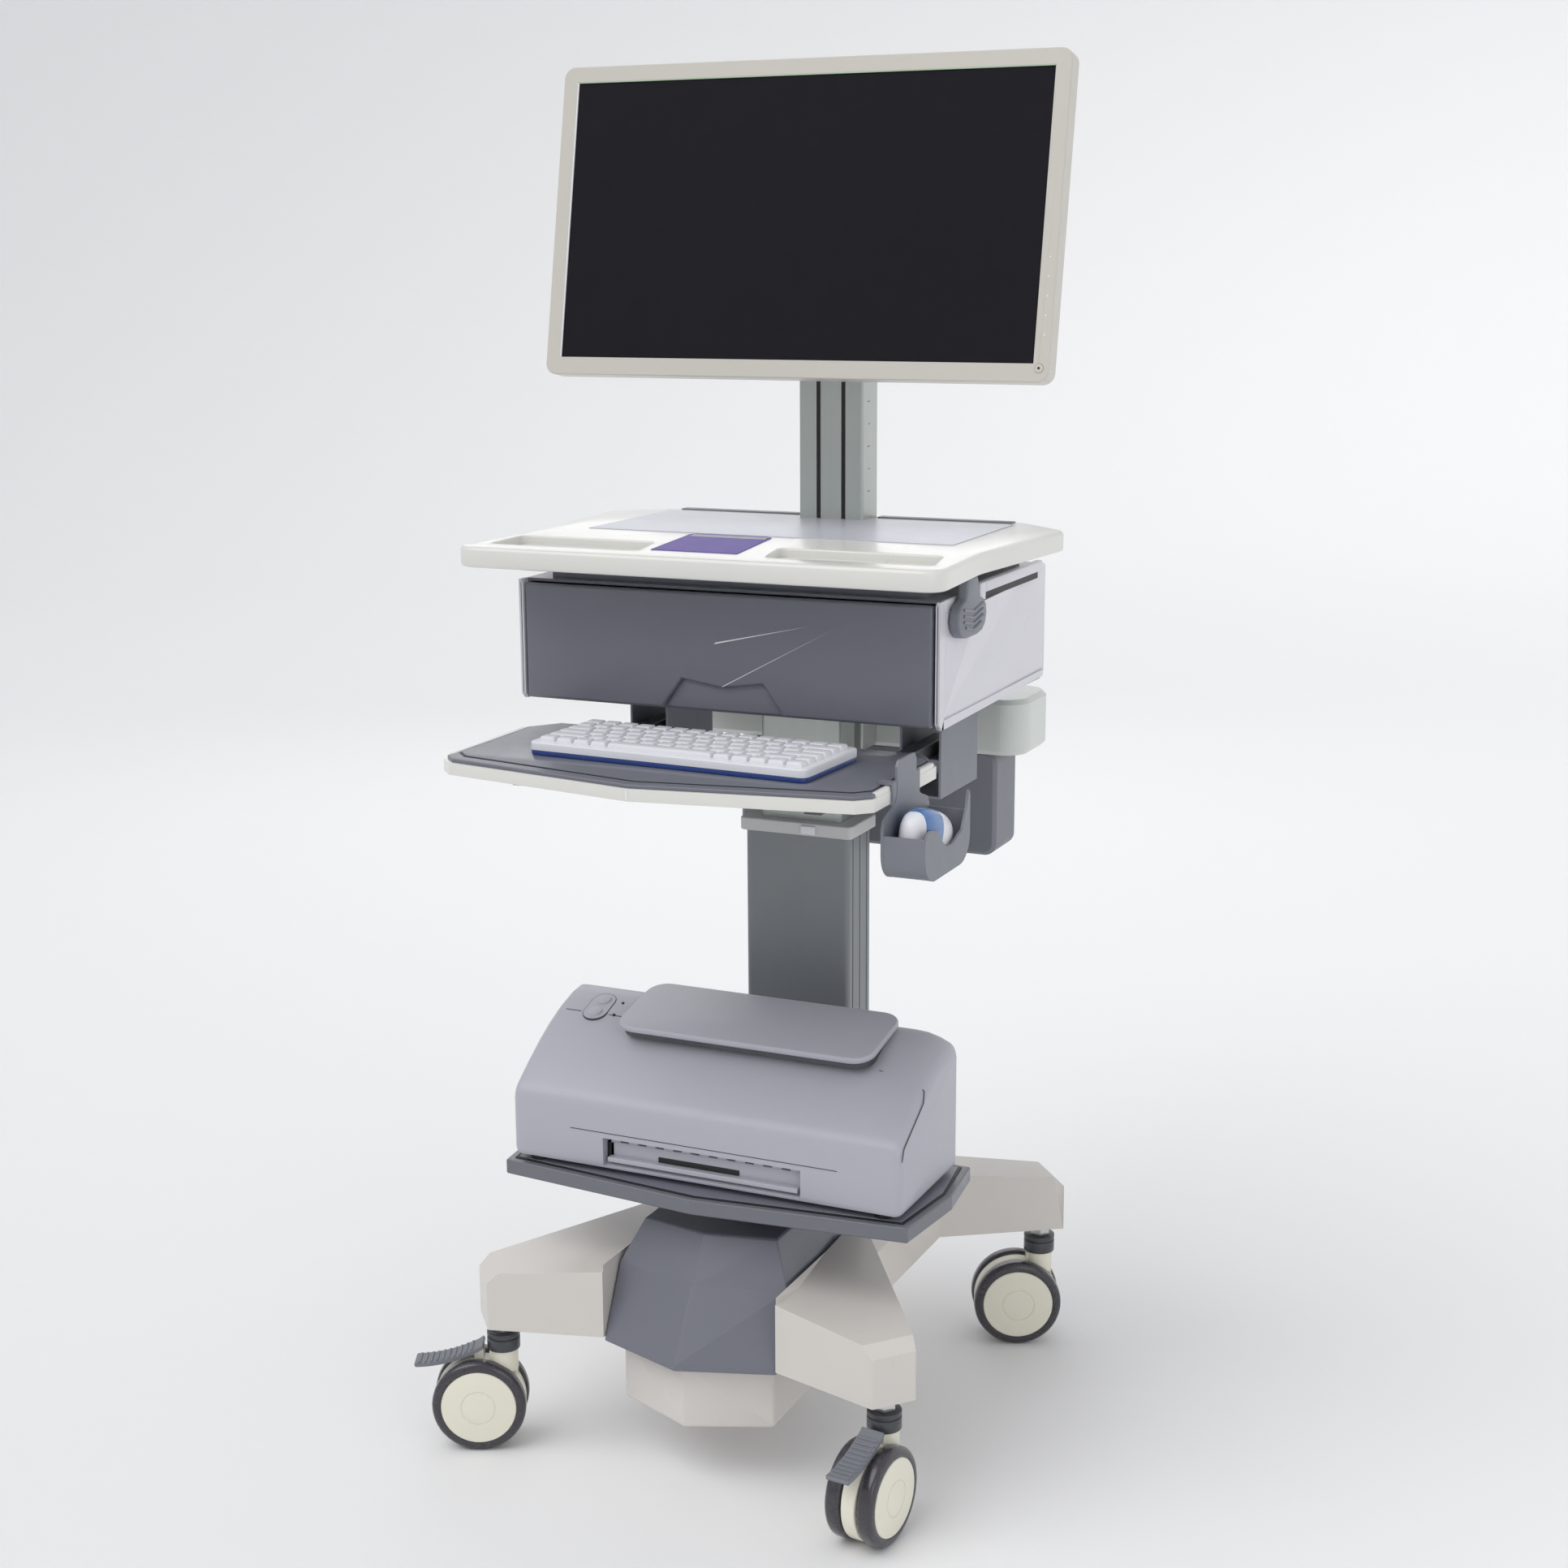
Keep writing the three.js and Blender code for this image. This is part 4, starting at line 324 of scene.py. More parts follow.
# Each: name, colour, roughness, tone, grain, bump, soiling, coat; a metal: name, colour, roughness, lines,
# metallic, bump.
FINISH = {
    "frame_white": plastic("frame_paint", linear(219, 214, 208), 0.42, 0.07, 500.0, 0.10, 0.16, 0.25),
    "weight_white": plastic("weight_paint", linear(221, 216, 211), 0.45, 0.07, 500.0, 0.10, 0.22, 0.15),
    "top_white": plastic("worktop_plastic", linear(228, 227, 222), 0.30, 0.04, 1400.0, 0.05, 0.05, 0.35),
    "panel_white": plastic("side_panel_plastic", linear(216, 214, 222), 0.30, 0.05, 1200.0, 0.05, 0.04, 0.30),
    "slate": plastic("slate_plastic", linear(113, 115, 126), 0.36, 0.08, 1000.0, 0.12, 0.06, 0.20),
    "column_grey": metal("column_paint", linear(126, 130, 134), 0.42, 0.05, 0.25, 0.05),
    "shelf_grey": plastic("shelf_plastic", linear(110, 112, 120), 0.36, 0.06, 900.0, 0.10, 0.05, 0.15),
    "collar_grey": plastic("collar_plastic", linear(206, 207, 206), 0.38, 0.05, 900.0, 0.08, 0.06),
    "tray_grey": plastic("drawer_tray_plastic", linear(178, 180, 182), 0.5, 0.05, 900.0, 0.10, 0.03),
    "bracket_grey": plastic("bracket_paint", linear(124, 127, 136), 0.40, 0.06, 900.0, 0.08, 0.04),
    "pale_aluminium": metal("anodised_aluminium", linear(186, 192, 188), 0.36, 0.10, 0.55, 0.12),
    "steel": metal("plated_steel", linear(205, 205, 205), 0.18, 0.04, 1.0, 0.05),
    "dark_steel": metal("dark_painted_steel", linear(70, 72, 78), 0.40, 0.05, 0.4, 0.05),
    "cream": plastic("caster_cream", linear(240, 237, 219), 0.34, 0.05, 800.0, 0.07, 0.14, 0.20),
    "tyre_dark": plastic("tyre_polyurethane", linear(56, 53, 60), 0.26, 0.05, 700.0, 0.06, 0.10, 0.40),
    "pedal_grey": plastic("pedal_plastic", linear(122, 125, 133), 0.45, 0.07, 700.0, 0.16, 0.08),
    "handle_pale": plastic("handle_plastic", linear(214, 219, 214), 0.34, 0.05, 900.0, 0.08, 0.05, 0.20),
    "printer_silver": plastic("printer_plastic", linear(180, 181, 190), 0.40, 0.06, 1100.0, 0.14, 0.05, 0.08),
    "key_white": plastic("key_plastic", linear(232, 233, 238), 0.35, 0.04, 1500.0, 0.06, 0.03),
    "bezel_silver": plastic("bezel_plastic", linear(206, 202, 193), 0.34, 0.04, 1300.0, 0.10, 0.03, 0.15),
    "screen_black": plastic("screen_matte", linear(24, 22, 28), 0.55, 0.02, 2600.0, 0.05, 0.0),
    "black_rubber": plastic("black_trim", linear(24, 24, 27), 0.5, 0.02, 900.0, 0.10, 0.0),
    "swivel_dark": plastic("swivel_head_plastic", linear(62, 64, 70), 0.32, 0.04, 900.0, 0.08, 0.04, 0.2),
    "label_purple": plastic("label_purple", linear(104, 86, 164), 0.60, 0.04, 2000.0, 0.03, 0.0),
    "clear_sheet": plastic("gloss_sheet", linear(196, 197, 207), 0.34, 0.03, 300.0, 0.01, 0.0),
    # Painted highlight: a near-white for light caught along creases and edges, not a colour of the plastic.
    "painted_highlight_white": plastic("painted_highlight_white", linear(238, 238, 242), 0.30, 0.02, 1200.0, 0.02, 0.0),
    "keyboard_blue": plastic("keyboard_blue", linear(38, 66, 140), 0.32, 0.05, 1200.0, 0.06, 0.0, 0.3),
    "mouse_blue": plastic("mouse_blue", linear(52, 112, 178), 0.24, 0.05, 1200.0, 0.03, 0.0, 0.5),
    "lip_green": plastic("lip_green", linear(176, 200, 170), 0.4, 0.03, 1200.0, 0.03, 0.0),
}
FINISH["screen_black"].node_tree.nodes["Principled BSDF"].inputs["Specular IOR Level"].default_value = 0.12


def plain_floor():
    made, tree, shader, where = new_material("studio_floor")
    tone = ranged(tree, noise(tree, where, 0.6), 0.3, 0.7, 0.0, 0.02)
    tree.links.new(mixed(tree, tone, (0.90, 0.90, 0.905), (0.8, 0.8, 0.8)), shader.inputs["Base Color"])
    shader.inputs["Roughness"].default_value = 0.7
    return made


# ---- Carried-over nodes ----
EDGE_ANGLE, SHARP_ANGLE = math.radians(28), math.radians(32)
SLOT_OF = {part["node"]: part["material_slot"] for part in frame["record"]["subparts"]}


def round_edges(made, width):
    """A bevel modifier of that many millimetres on every edge sharper than EDGE_ANGLE."""
    bevel = made.modifiers.new("round_edges", "BEVEL")
    bevel.width = width * MM
    bevel.segments = 2
    bevel.limit_method = "ANGLE"
    bevel.angle_limit = EDGE_ANGLE


def finish_node(node, bevel=0.0):
    """The CAD node's own finish, and soft edges of that many millimetres."""
    made = frame["nodes"][node]
    finish = FINISH[SLOT_OF[node]]
    if made.material_slots:
        for socket in made.material_slots:
            socket.material = finish
    else:
        made.data.materials.append(finish)
    if bevel <= 0:
        return
    weld = made.modifiers.new("weld", "WELD")
    weld.merge_threshold = 0.02 * MM
    round_edges(made, bevel)


# ---- Making pieces ----
def finish_piece(name, bm, body, finish, replaces=(), frame_of=UPRIGHT, smooth=True, bevel=0.0):
    """A mesh in millimetres becomes a named piece of the cart, riding on a body."""
    bmesh.ops.remove_doubles(bm, verts=bm.verts, dist=0.001)
    bmesh.ops.recalc_face_normals(bm, faces=bm.faces)
    bm.transform(SHIFT @ frame_of)
    for face in bm.faces:
        face.smooth = smooth
    made = mesh_object(name, bm)
    made.data.materials.append(FINISH[finish])
    if bevel > 0:
        round_edges(made, bevel)
    if smooth:
        made.data.set_sharp_from_angle(angle=SHARP_ANGLE)
    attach(made, body)
    if replaces:
        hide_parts(*replaces)
    return made


def plate(bm, outline, low, high):
    """A closed plate: an outline in x and y, raised from one height to another. Returns its top face."""
    start = [bm.verts.new((x, y, low)) for x, y in outline]
    face = bm.faces.new(start)
    raised = bmesh.ops.extrude_face_region(bm, geom=[face])
    verts = [item for item in raised["geom"] if isinstance(item, bmesh.types.BMVert)]
    bmesh.ops.translate(bm, verts=verts, vec=(0, 0, high - low))
    return next(item for item in raised["geom"] if isinstance(item, bmesh.types.BMFace))


def block(bm, x, y, z):
    """A box between the two ends given along each axis. Returns its corners."""
    made = bmesh.ops.create_cube(bm, size=1)["verts"]
    bmesh.ops.scale(bm, verts=made, vec=(x[1] - x[0], y[1] - y[0], z[1] - z[0]))
    bmesh.ops.translate(bm, verts=made, vec=((x[0] + x[1]) / 2, (y[0] + y[1]) / 2, (z[0] + z[1]) / 2))
    return made


def rod(bm, radius, start, end, sides=32):
    """A round bar from one point to another."""
    start, end = Vector(start), Vector(end)
    turn = (end - start).to_track_quat("Z", "Y").to_matrix().to_4x4()
    bmesh.ops.create_cone(
        bm,
        cap_ends=True,
        segments=sides,
        radius1=radius,
        radius2=radius,
        depth=(end - start).length,
        matrix=Matrix.Translation((start + end) / 2) @ turn,
    )


def soften(bm, width, segments=2, edges=None):
    """Rounds the chosen edges, or all that turn by more than 0.45 radians."""
    chosen = edges
    if chosen is None:
        chosen = [edge for edge in bm.edges if edge.is_manifold and edge.calc_face_angle() > 0.45]
    bmesh.ops.bevel(
        bm,
        geom=chosen,
        offset=width,
        offset_type="OFFSET",
        affect="EDGES",
        segments=segments,
        profile=0.5,
        material=-1,
        clamp_overlap=True,
    )


def rounded_outline(x, y, radius, steps=6):
    """The outline of a rectangle between the ends given in x and y, its corners round."""
    points = []
    for cx, cy, start in (
        (x[1] - radius, y[0] + radius, -90),
        (x[1] - radius, y[1] - radius, 0),
        (x[0] + radius, y[1] - radius, 90),
        (x[0] + radius, y[0] + radius, 180),
    ):
        for step in range(steps + 1):
            angle = math.radians(start + 90 * step / steps)
            points.append((cx + radius * math.cos(angle), cy + radius * math.sin(angle)))
    return points


def both_sides(half, middle=0):
    """An outline from one half of it, mirrored across a middle line."""
    return [(middle + x, y) for x, y in half] + [(middle - x, y) for x, y in reversed(half)]


def onto_front(bm, y):
    """Turns what was drawn in x and y so that it stands in x and z, its top facing -Y, at that y."""
    turn = Matrix.Rotation(math.radians(90), 4, "X")
    bm.transform(Matrix.Translation((0, y, 0)) @ turn)


set_studio()
set_camera()
JOINTS = {joint["name"]: joint for joint in frame["joints"]}


def joint_spot(name):
    """Where a joint stands, in millimetres from the same point as place()."""
    spot = Vector(JOINTS[name]["pos_m"]) - Vector((COLUMN_MIDDLE.x, COLUMN_MIDDLE.y, 0))
    return spot / MM


# ---- Casters: swivel axis on x = 0, y = 0, the wheels trailing towards +X, the axle along Y ----
CASTERS = ("front_left", "front_right", "rear_left", "rear_right")
TRAIL, WHEEL_RADIUS = 26, 50
PIN_X, PIN_Z = 26, 103  # the pin that a brake pedal turns on


def caster_frame(name):
    """The turn and place of a caster at rest."""
    axle = Vector(JOINTS[f"spin_{name}_a"]["axis"])
    turn = Matrix(((axle.y, axle.x, 0), (-axle.x, axle.y, 0), (0, 0, 1))).to_4x4()
    spot = joint_spot(f"swivel_{name}")
    return Matrix.Translation((spot.x, spot.y, 0)) @ turn


def turned(bm, profile, steps, centre, axis):
    """Spins a closed profile of (radius, distance along the axis) pairs into a ring round the axle."""
    verts = [bm.verts.new((centre[0] + radius, along, centre[2])) for radius, along in profile]
    edges = [bm.edges.new(pair) for pair in zip(verts, verts[1:] + verts[:1])]
    bmesh.ops.spin(
        bm, geom=verts + edges, cent=centre, axis=axis, angle=2 * math.pi, steps=steps, use_merge=True
    )


def wheel_profiles(side):
    """Tyre and hub as (radius, distance from the caster's middle) pairs."""
    tyre = [
        (36.3, 9.4), (44, 9.2), (47.2, 9.9), (49.2, 11.6), (50, 14), (50, 21), (49.4, 23.4), (47.6, 25.4),
        (45, 26.5), (42, 27), (40.3, 26.6), (40.3, 23), (36.3, 22.8),
    ]
    hub = [
        (4.3, 9.2), (34.5, 9.2), (36, 10.4), (36, 22.5), (40, 23), (40, 26.2), (39.2, 27), (37, 27.4),
        (19.2, 28.3), (18.8, 27.5), (17.6, 27.5), (17.2, 28.3), (15, 28.5), (0.02, 28.6), (0.02, 24.4),
        (4.3, 24.4),
    ]
    return [[(radius, side * along) for radius, along in profile] for profile in (tyre, hub)]


def make_wheel(name, label, side):
    shape = caster_frame(name)
    centre = (TRAIL, 0, WHEEL_RADIUS)
    for profile, kind, finish in zip(wheel_profiles(side), ("tyre", "hub"), ("tyre_dark", "cream")):
        bm = bmesh.new()
        turned(bm, profile, 72, centre, (0, 1, 0))
        piece_name = f"{kind}_{name}_{label}"
        node = f"wheel_{kind}_{name}_{label}"
        finish_piece(piece_name, bm, f"wheel_{name}_{label}", finish, (node,), shape)


def make_yoke(name):
    """Cream housing between the wheels with its fender, and the dark swivel head above it."""
    shape = caster_frame(name)
    body = f"caster_{name}"
    half, neck_top, groove_low, groove_high, head_top = 8.4, 108, 121, 122.5, 127.6
    bm = bmesh.new()
    rod(bm, WHEEL_RADIUS - 2, (TRAIL, -8, WHEEL_RADIUS), (TRAIL, 8, WHEEL_RADIUS), 64)
    soften(bm, 2.0, 3)
    neck = block(bm, (-15, 17), (-half, half), (WHEEL_RADIUS, neck_top - 1))
    for vert in neck:
        if vert.co.z > WHEEL_RADIUS + 1:
            vert.co.x *= 0.86
    rod(bm, 15.2, (0, 0, 84), (0, 0, neck_top), 40)
    rod(bm, 4, (TRAIL, -24, WHEEL_RADIUS), (TRAIL, 24, WHEEL_RADIUS), 24)
    if name.startswith("front"):
        for lug in (-7, 7):
            block(bm, (PIN_X - 5, PIN_X + 5), (lug - 1.3, lug + 1.3), (80, neck_top))
        rod(bm, 2, (PIN_X, -8.6, PIN_Z), (PIN_X, 8.6, PIN_Z), 16)
    finish_piece(f"yoke_{name}", bm, body, "cream", (f"caster_yoke_{name}",), shape, bevel=0.6)
    bm = bmesh.new()
    rod(bm, 17.5, (0, 0, neck_top), (0, 0, groove_low), 48)
    rod(bm, 16.4, (0, 0, groove_low - 0.5), (0, 0, groove_high + 0.5), 48)
    rod(bm, 17.5, (0, 0, groove_high), (0, 0, head_top), 48)
    soften(bm, 0.8, 2)
    finish_piece(f"swivel_head_{name}", bm, body, "swivel_dark", (), shape)


def make_pedal(name):
    """A curved ribbed blade over its hinge barrel."""
    shape = caster_frame(name)
    bm = bmesh.new()
    steps, half = 12, 12.5
    start, length, rise, low = 21, 74, 20, 94.5
    upper = [(start + length * k / steps, low + rise * (1 - k / steps) ** 2) for k in range(steps + 1)]
    lower = [(x - 0.5, z - 4.2) for x, z in reversed(upper)]
    plate(bm, upper + lower, -half, half)
    bm.transform(Matrix.Rotation(math.radians(90), 4, "X"))
    across = [edge for edge in bm.edges if abs(edge.verts[0].co.x - edge.verts[1].co.x) < 0.6]
    soften(bm, 3.0, 3, [edge for edge in across if edge.calc_face_angle() > 0.5])
    for x, z in upper[2:steps]:
        rod(bm, 1.5, (x, 1.5 - half, z + 0.1), (x, half - 1.5, z + 0.1), 10)
    block(bm, (PIN_X - 3, PIN_X + 3), (-4.6, 4.6), (PIN_Z, PIN_Z + 7))
    rod(bm, 4, (PIN_X, -4.8, PIN_Z), (PIN_X, 4.8, PIN_Z), 24)
    body = f"pedal_{name}"
    finish_piece(body, bm, body, "pedal_grey", (f"brake_pedal_{name}",), shape)


for caster in CASTERS:
    make_wheel(caster, "a", -1)
    make_wheel(caster, "b", 1)
    make_yoke(caster)
    if caster.startswith("front"):
        make_pedal(caster)


# ---- Keyboard tray ----
TRAY_LOW, TRAY_HIGH = millimetres("keyboard_tray")
TRAY_HALF, TRAY_FRONT = TRAY_HIGH.x, TRAY_LOW.y
TRAY_REAR, TRAY_SHOULDER = -262, -297  # the tray's rear edge, and where its sides turn in towards it
HAIR = 0.01  # the least inset, for a rim that is moved or sunk afterwards


def tray_plan(inset, front_inset=None):
    """The tray's outline in x and y, drawn in by the inset."""
    front = inset if front_inset is None else front_inset
    half = TRAY_HALF - inset
    right = [
        (half - 14, TRAY_FRONT + 35 + front),
        (half, TRAY_FRONT + 49 + front),
        (half, TRAY_SHOULDER),
        (half - 24, TRAY_REAR - inset),
    ]
    return [(0, TRAY_FRONT + front)] + both_sides(right)


def make_keyboard_tray():
    bm = bmesh.new()
    plate(bm, tray_plan(0), TRAY_HIGH.z - 17, TRAY_HIGH.z - 5)
    under = min(bm.faces, key=lambda face: face.calc_center_median().z)
    bmesh.ops.inset_region(bm, faces=[under], thickness=HAIR)
    for vert in under.verts:
        vert.co.x *= 0.985
        if vert.co.y < TRAY_SHOULDER - 50:
            vert.co.y += 5
    soften(bm, 1.6, 3)
    finish_piece("tray_underbody", bm, "tray", "top_white", ("keyboard_tray",))
    bm = bmesh.new()
    plate(bm, tray_plan(2.5), TRAY_HIGH.z - 5.1, TRAY_HIGH.z - 1.2)
    soften(bm, 1.2, 3)
    finish_piece("tray_top", bm, "tray", "slate")
    bm = bmesh.new()
    plate(bm, tray_plan(10, 17), TRAY_HIGH.z - 1.3, TRAY_HIGH.z - 0.1)
    soften(bm, 0.5, 2)
    finish_piece("tray_mat", bm, "tray", "slate")
    bm = bmesh.new()
    plate(bm, tray_plan(8.6, 15.2), TRAY_HIGH.z - 1.4, TRAY_HIGH.z - 0.8)
    finish_piece("tray_groove", bm, "tray", "black_rubber")
    # Painted highlight: a near-white strip down the tray's front point stands in for light along its ridge.
    bm = bmesh.new()
    block(bm, (-0.9, 0.9), (TRAY_FRONT - 0.4, TRAY_FRONT + 3), (TRAY_HIGH.z - 15.5, TRAY_HIGH.z - 6.5))
    finish_piece("tray_crease_highlight", bm, "tray", "painted_highlight_white")
    bm = bmesh.new()
    for x in (-157, 157):
        block(bm, (x - 9, x + 9), (-430, TRAY_HIGH.y), (TRAY_LOW.z, TRAY_LOW.z + 14.2))
    finish_piece("tray_runners", bm, "tray", "dark_steel", bevel=0.8)
    for side, name in ((1, "right"), (-1, "left")):
        bm = bmesh.new()
        across = sorted((side * (TRAY_HALF - 7), side * (TRAY_HALF - 0.4)))
        block(bm, across, (-446, TRAY_SHOULDER - 4), (TRAY_HIGH.z - 9, TRAY_HIGH.z - 0.4))
        soften(bm, 2.2, 3)
        finish_piece(f"tray_side_rail_{name}", bm, "tray", "top_white")


make_keyboard_tray()


# ---- Keyboard ----
def make_keyboard():
    low, high = millimetres("keyboard")
    base, case_top = low.z, low.z + 13
    turn = Matrix.Rotation(math.radians(-3), 4, "Z") @ Matrix.Diagonal((0.965, 1, 1, 1))
    turn = Matrix.Translation((5, (low.y + high.y) / 2, 0)) @ turn
    bm = bmesh.new()
    plate(bm, rounded_outline((-157.5, 157.5), (-57.5, 57.5), 7), base, base + 5)
    soften(bm, 0.8, 2)
    finish_piece("keyboard_base", bm, "tray", "keyboard_blue", ("keyboard",), turn)
    bm = bmesh.new()
    top = plate(bm, rounded_outline((-158, 158), (-58, 58), 8), base + 5, case_top)
    soften(bm, 1.8, 3, [edge for edge in top.edges])
    finish_piece("keyboard_case", bm, "tray", "key_white", (), turn)
    rows = (
        [1] * 15, [1] * 13 + [2], [1.5] + [1] * 12 + [1.5], [1.8] + [1] * 11 + [2.2],
        [2.3] + [1] * 10 + [1.7, 1], [1] * 4 + [6] + [1] * 5,
    )
    width, depth, gap = 302.0, 102.0, 1.1
    pitch = depth / len(rows)
    for index, row in enumerate(rows):
        rear = depth / 2 - pitch * index
        bm = bmesh.new()
        x = -width / 2
        for span in row:
            key_width = span * width / sum(row)
            make_key(bm, (x + gap, x + key_width - gap), (rear - pitch + gap, rear - gap), case_top - 0.2)
            x += key_width
        soften(bm, 0.7, 2)
        finish_piece(f"key_row_{index + 1}", bm, "tray", "key_white", (), turn)


def make_key(bm, x, y, low):
    """A key cap between the ends given, narrowed towards its top, which leans a little to the rear."""
    height, lean = 4.6, 0.4
    middle_x, middle_y = sum(x) / 2, sum(y) / 2 + lean
    for vert in block(bm, x, y, (low, low + height)):
        if vert.co.z > low + height / 2:
            vert.co.x -= math.copysign(1.3, vert.co.x - middle_x)
            vert.co.y -= math.copysign(1.2, vert.co.y - middle_y)


make_keyboard()


# ---- Mouse holder and mouse ----
HOLDER_LOW, HOLDER_HIGH = millimetres("mouse_holder")
ALONG_X = Matrix(((0, 0, 1, 0), (1, 0, 0, 0), (0, 1, 0, 0), (0, 0, 0, 1)))


def side_plate(bm, outline, x_low, x_high):
    """A plate whose outline is in y and z, run from one x to another."""
    fresh = bmesh.new()
    plate(fresh, outline, x_low, x_high)
    fresh.transform(ALONG_X)
    carried = bpy.data.meshes.new("carried")
    fresh.to_mesh(carried)
    fresh.free()
    bm.from_mesh(carried)
    bpy.data.meshes.remove(carried)


def pocket_curve(inset):
    """The pocket's round underside in y and z, from its front edge to its rear edge."""
    radius, steps = 26, 8
    points = []
    for start, middle in ((180, HOLDER_LOW.y + radius), (270, HOLDER_HIGH.y - radius)):
        for step in range(steps + 1):
            angle = math.radians(start + 90 * step / steps)
            y = middle + (radius - inset) * math.cos(angle)
            points.append((y, HOLDER_LOW.z + radius + (radius - inset) * math.sin(angle)))
    return points


def make_mouse_holder():
    """A back plate with its neck, a low front lip, the strip between them and two hooks over the tray."""
    front, rear, bottom, top = HOLDER_LOW.y, HOLDER_HIGH.y, HOLDER_LOW.z, HOLDER_HIGH.z
    inner, outer = TRAY_HALF + 0.3, HOLDER_HIGH.x
    middle, half, neck, wall = (front + rear) / 2, (rear - front) / 2, 24, 2.6
    shoulder = bottom + 62
    edge = [
        (half, shoulder - 12), (half - 4, shoulder - 4), (half - 14, shoulder), (neck + 14, shoulder + 2),
        (neck + 4, shoulder + 8), (neck, shoulder + 17), (neck, top - 6), (neck - 5, top - 0.5),
    ]
    bm = bmesh.new()
    side_plate(bm, pocket_curve(0) + both_sides(edge, middle), inner, inner + wall)
    lip = [
        (rear, bottom + 62), (rear - 3, bottom + 68), (rear - 9, bottom + 50), (rear - 20, bottom + 33),
        (middle + 12, bottom + 25), (middle - 4, bottom + 26), (middle - 16, bottom + 34),
        (middle - 24, bottom + 46), (front + 12, bottom + 50), (front, bottom + 42),
    ]
    side_plate(bm, pocket_curve(0) + lip, outer - wall, outer)
    strip_front, strip_rear = bottom + 44, bottom + 48
    strip = [(front + 0.2, strip_front)] + pocket_curve(0.2)
    strip += [(rear - 0.2, strip_rear), (rear - wall, strip_rear)]
    strip += list(reversed(pocket_curve(wall))) + [(front + wall, strip_front)]
    side_plate(bm, strip, inner + 0.2, outer - 0.2)
    hook_low, hook_high = TRAY_HIGH.z + 0.3, TRAY_HIGH.z + 3
    for hook in (middle - 29, middle + 29):
        block(bm, (inner - 13, inner + 2.2), (hook - 5, hook + 5), (hook_low, hook_high))
        block(bm, (inner + 0.2, inner + 2.3), (hook - 4.8, hook + 4.8), (shoulder - 4, hook_high - 0.2))
    finish_piece("mouse_pocket", bm, "tray", "bracket_grey", ("mouse_holder",))


def mouse_body(bm, grow=0.0):
    """A ball squared off and thinned towards the rear, larger all round by grow. Returns its centre."""
    low, high = millimetres("mouse")
    centre, half = (low + high) / 2, (high - low) / 2
    half.z *= 0.92
    power = 2.6
    verts = bmesh.ops.create_uvsphere(bm, u_segments=40, v_segments=24, radius=1)["verts"]
    for vert in verts:
        vert.co /= sum(abs(value) ** power for value in vert.co) ** (1 / power)
        vert.co.z *= 1 - 0.10 * vert.co.y
        vert.co = Vector([value * (size + grow) for value, size in zip(vert.co, half)])
    tilt = Matrix.Translation(centre) @ Matrix.Rotation(math.radians(-14), 4, "X")
    bmesh.ops.transform(bm, matrix=tilt, verts=verts)
    return centre


def make_mouse():
    bm = bmesh.new()
    mouse_body(bm)
    finish_piece("mouse_shell", bm, "mouse", "key_white", ("mouse",))
    bm = bmesh.new()
    centre = mouse_body(bm, 0.35)
    for spot, normal in ((-38, (0, -1, 0.3)), (-2, (0, 1, -0.45))):
        geom = bm.verts[:] + bm.edges[:] + bm.faces[:]
        point = centre + Vector((0, spot, 0))
        bmesh.ops.bisect_plane(bm, geom=geom, plane_co=point, plane_no=normal, clear_outer=True)
        bmesh.ops.holes_fill(bm, edges=[edge for edge in bm.edges if edge.is_boundary])
    finish_piece("mouse_band", bm, "mouse", "mouse_blue")


make_mouse_holder()
make_mouse()

# ---- Work surface ----
SHEET = 0.8  # thickness of a label or a laid sheet
REST = millimetres("work_surface")[1].z  # the height of the work surface
TOP_UNDERSIDE = REST - 21


def cut_along(bm, point, normal):
    """Cuts new edges where a plane meets the mesh."""
    geom = bm.verts[:] + bm.edges[:] + bm.faces[:]
    bmesh.ops.bisect_plane(bm, geom=geom, dist=0.001, plane_co=point, plane_no=normal)


def faces_within(bm, x_range, y_range, z_range):
    """The faces whose middle is in a box."""
    found = []
    for face in bm.faces:
        spot = face.calc_center_median()
        spans = ((spot.x, x_range), (spot.y, y_range), (spot.z, z_range))
        if all(low < value < high for value, (low, high) in spans):
            found.append(face)
    return found


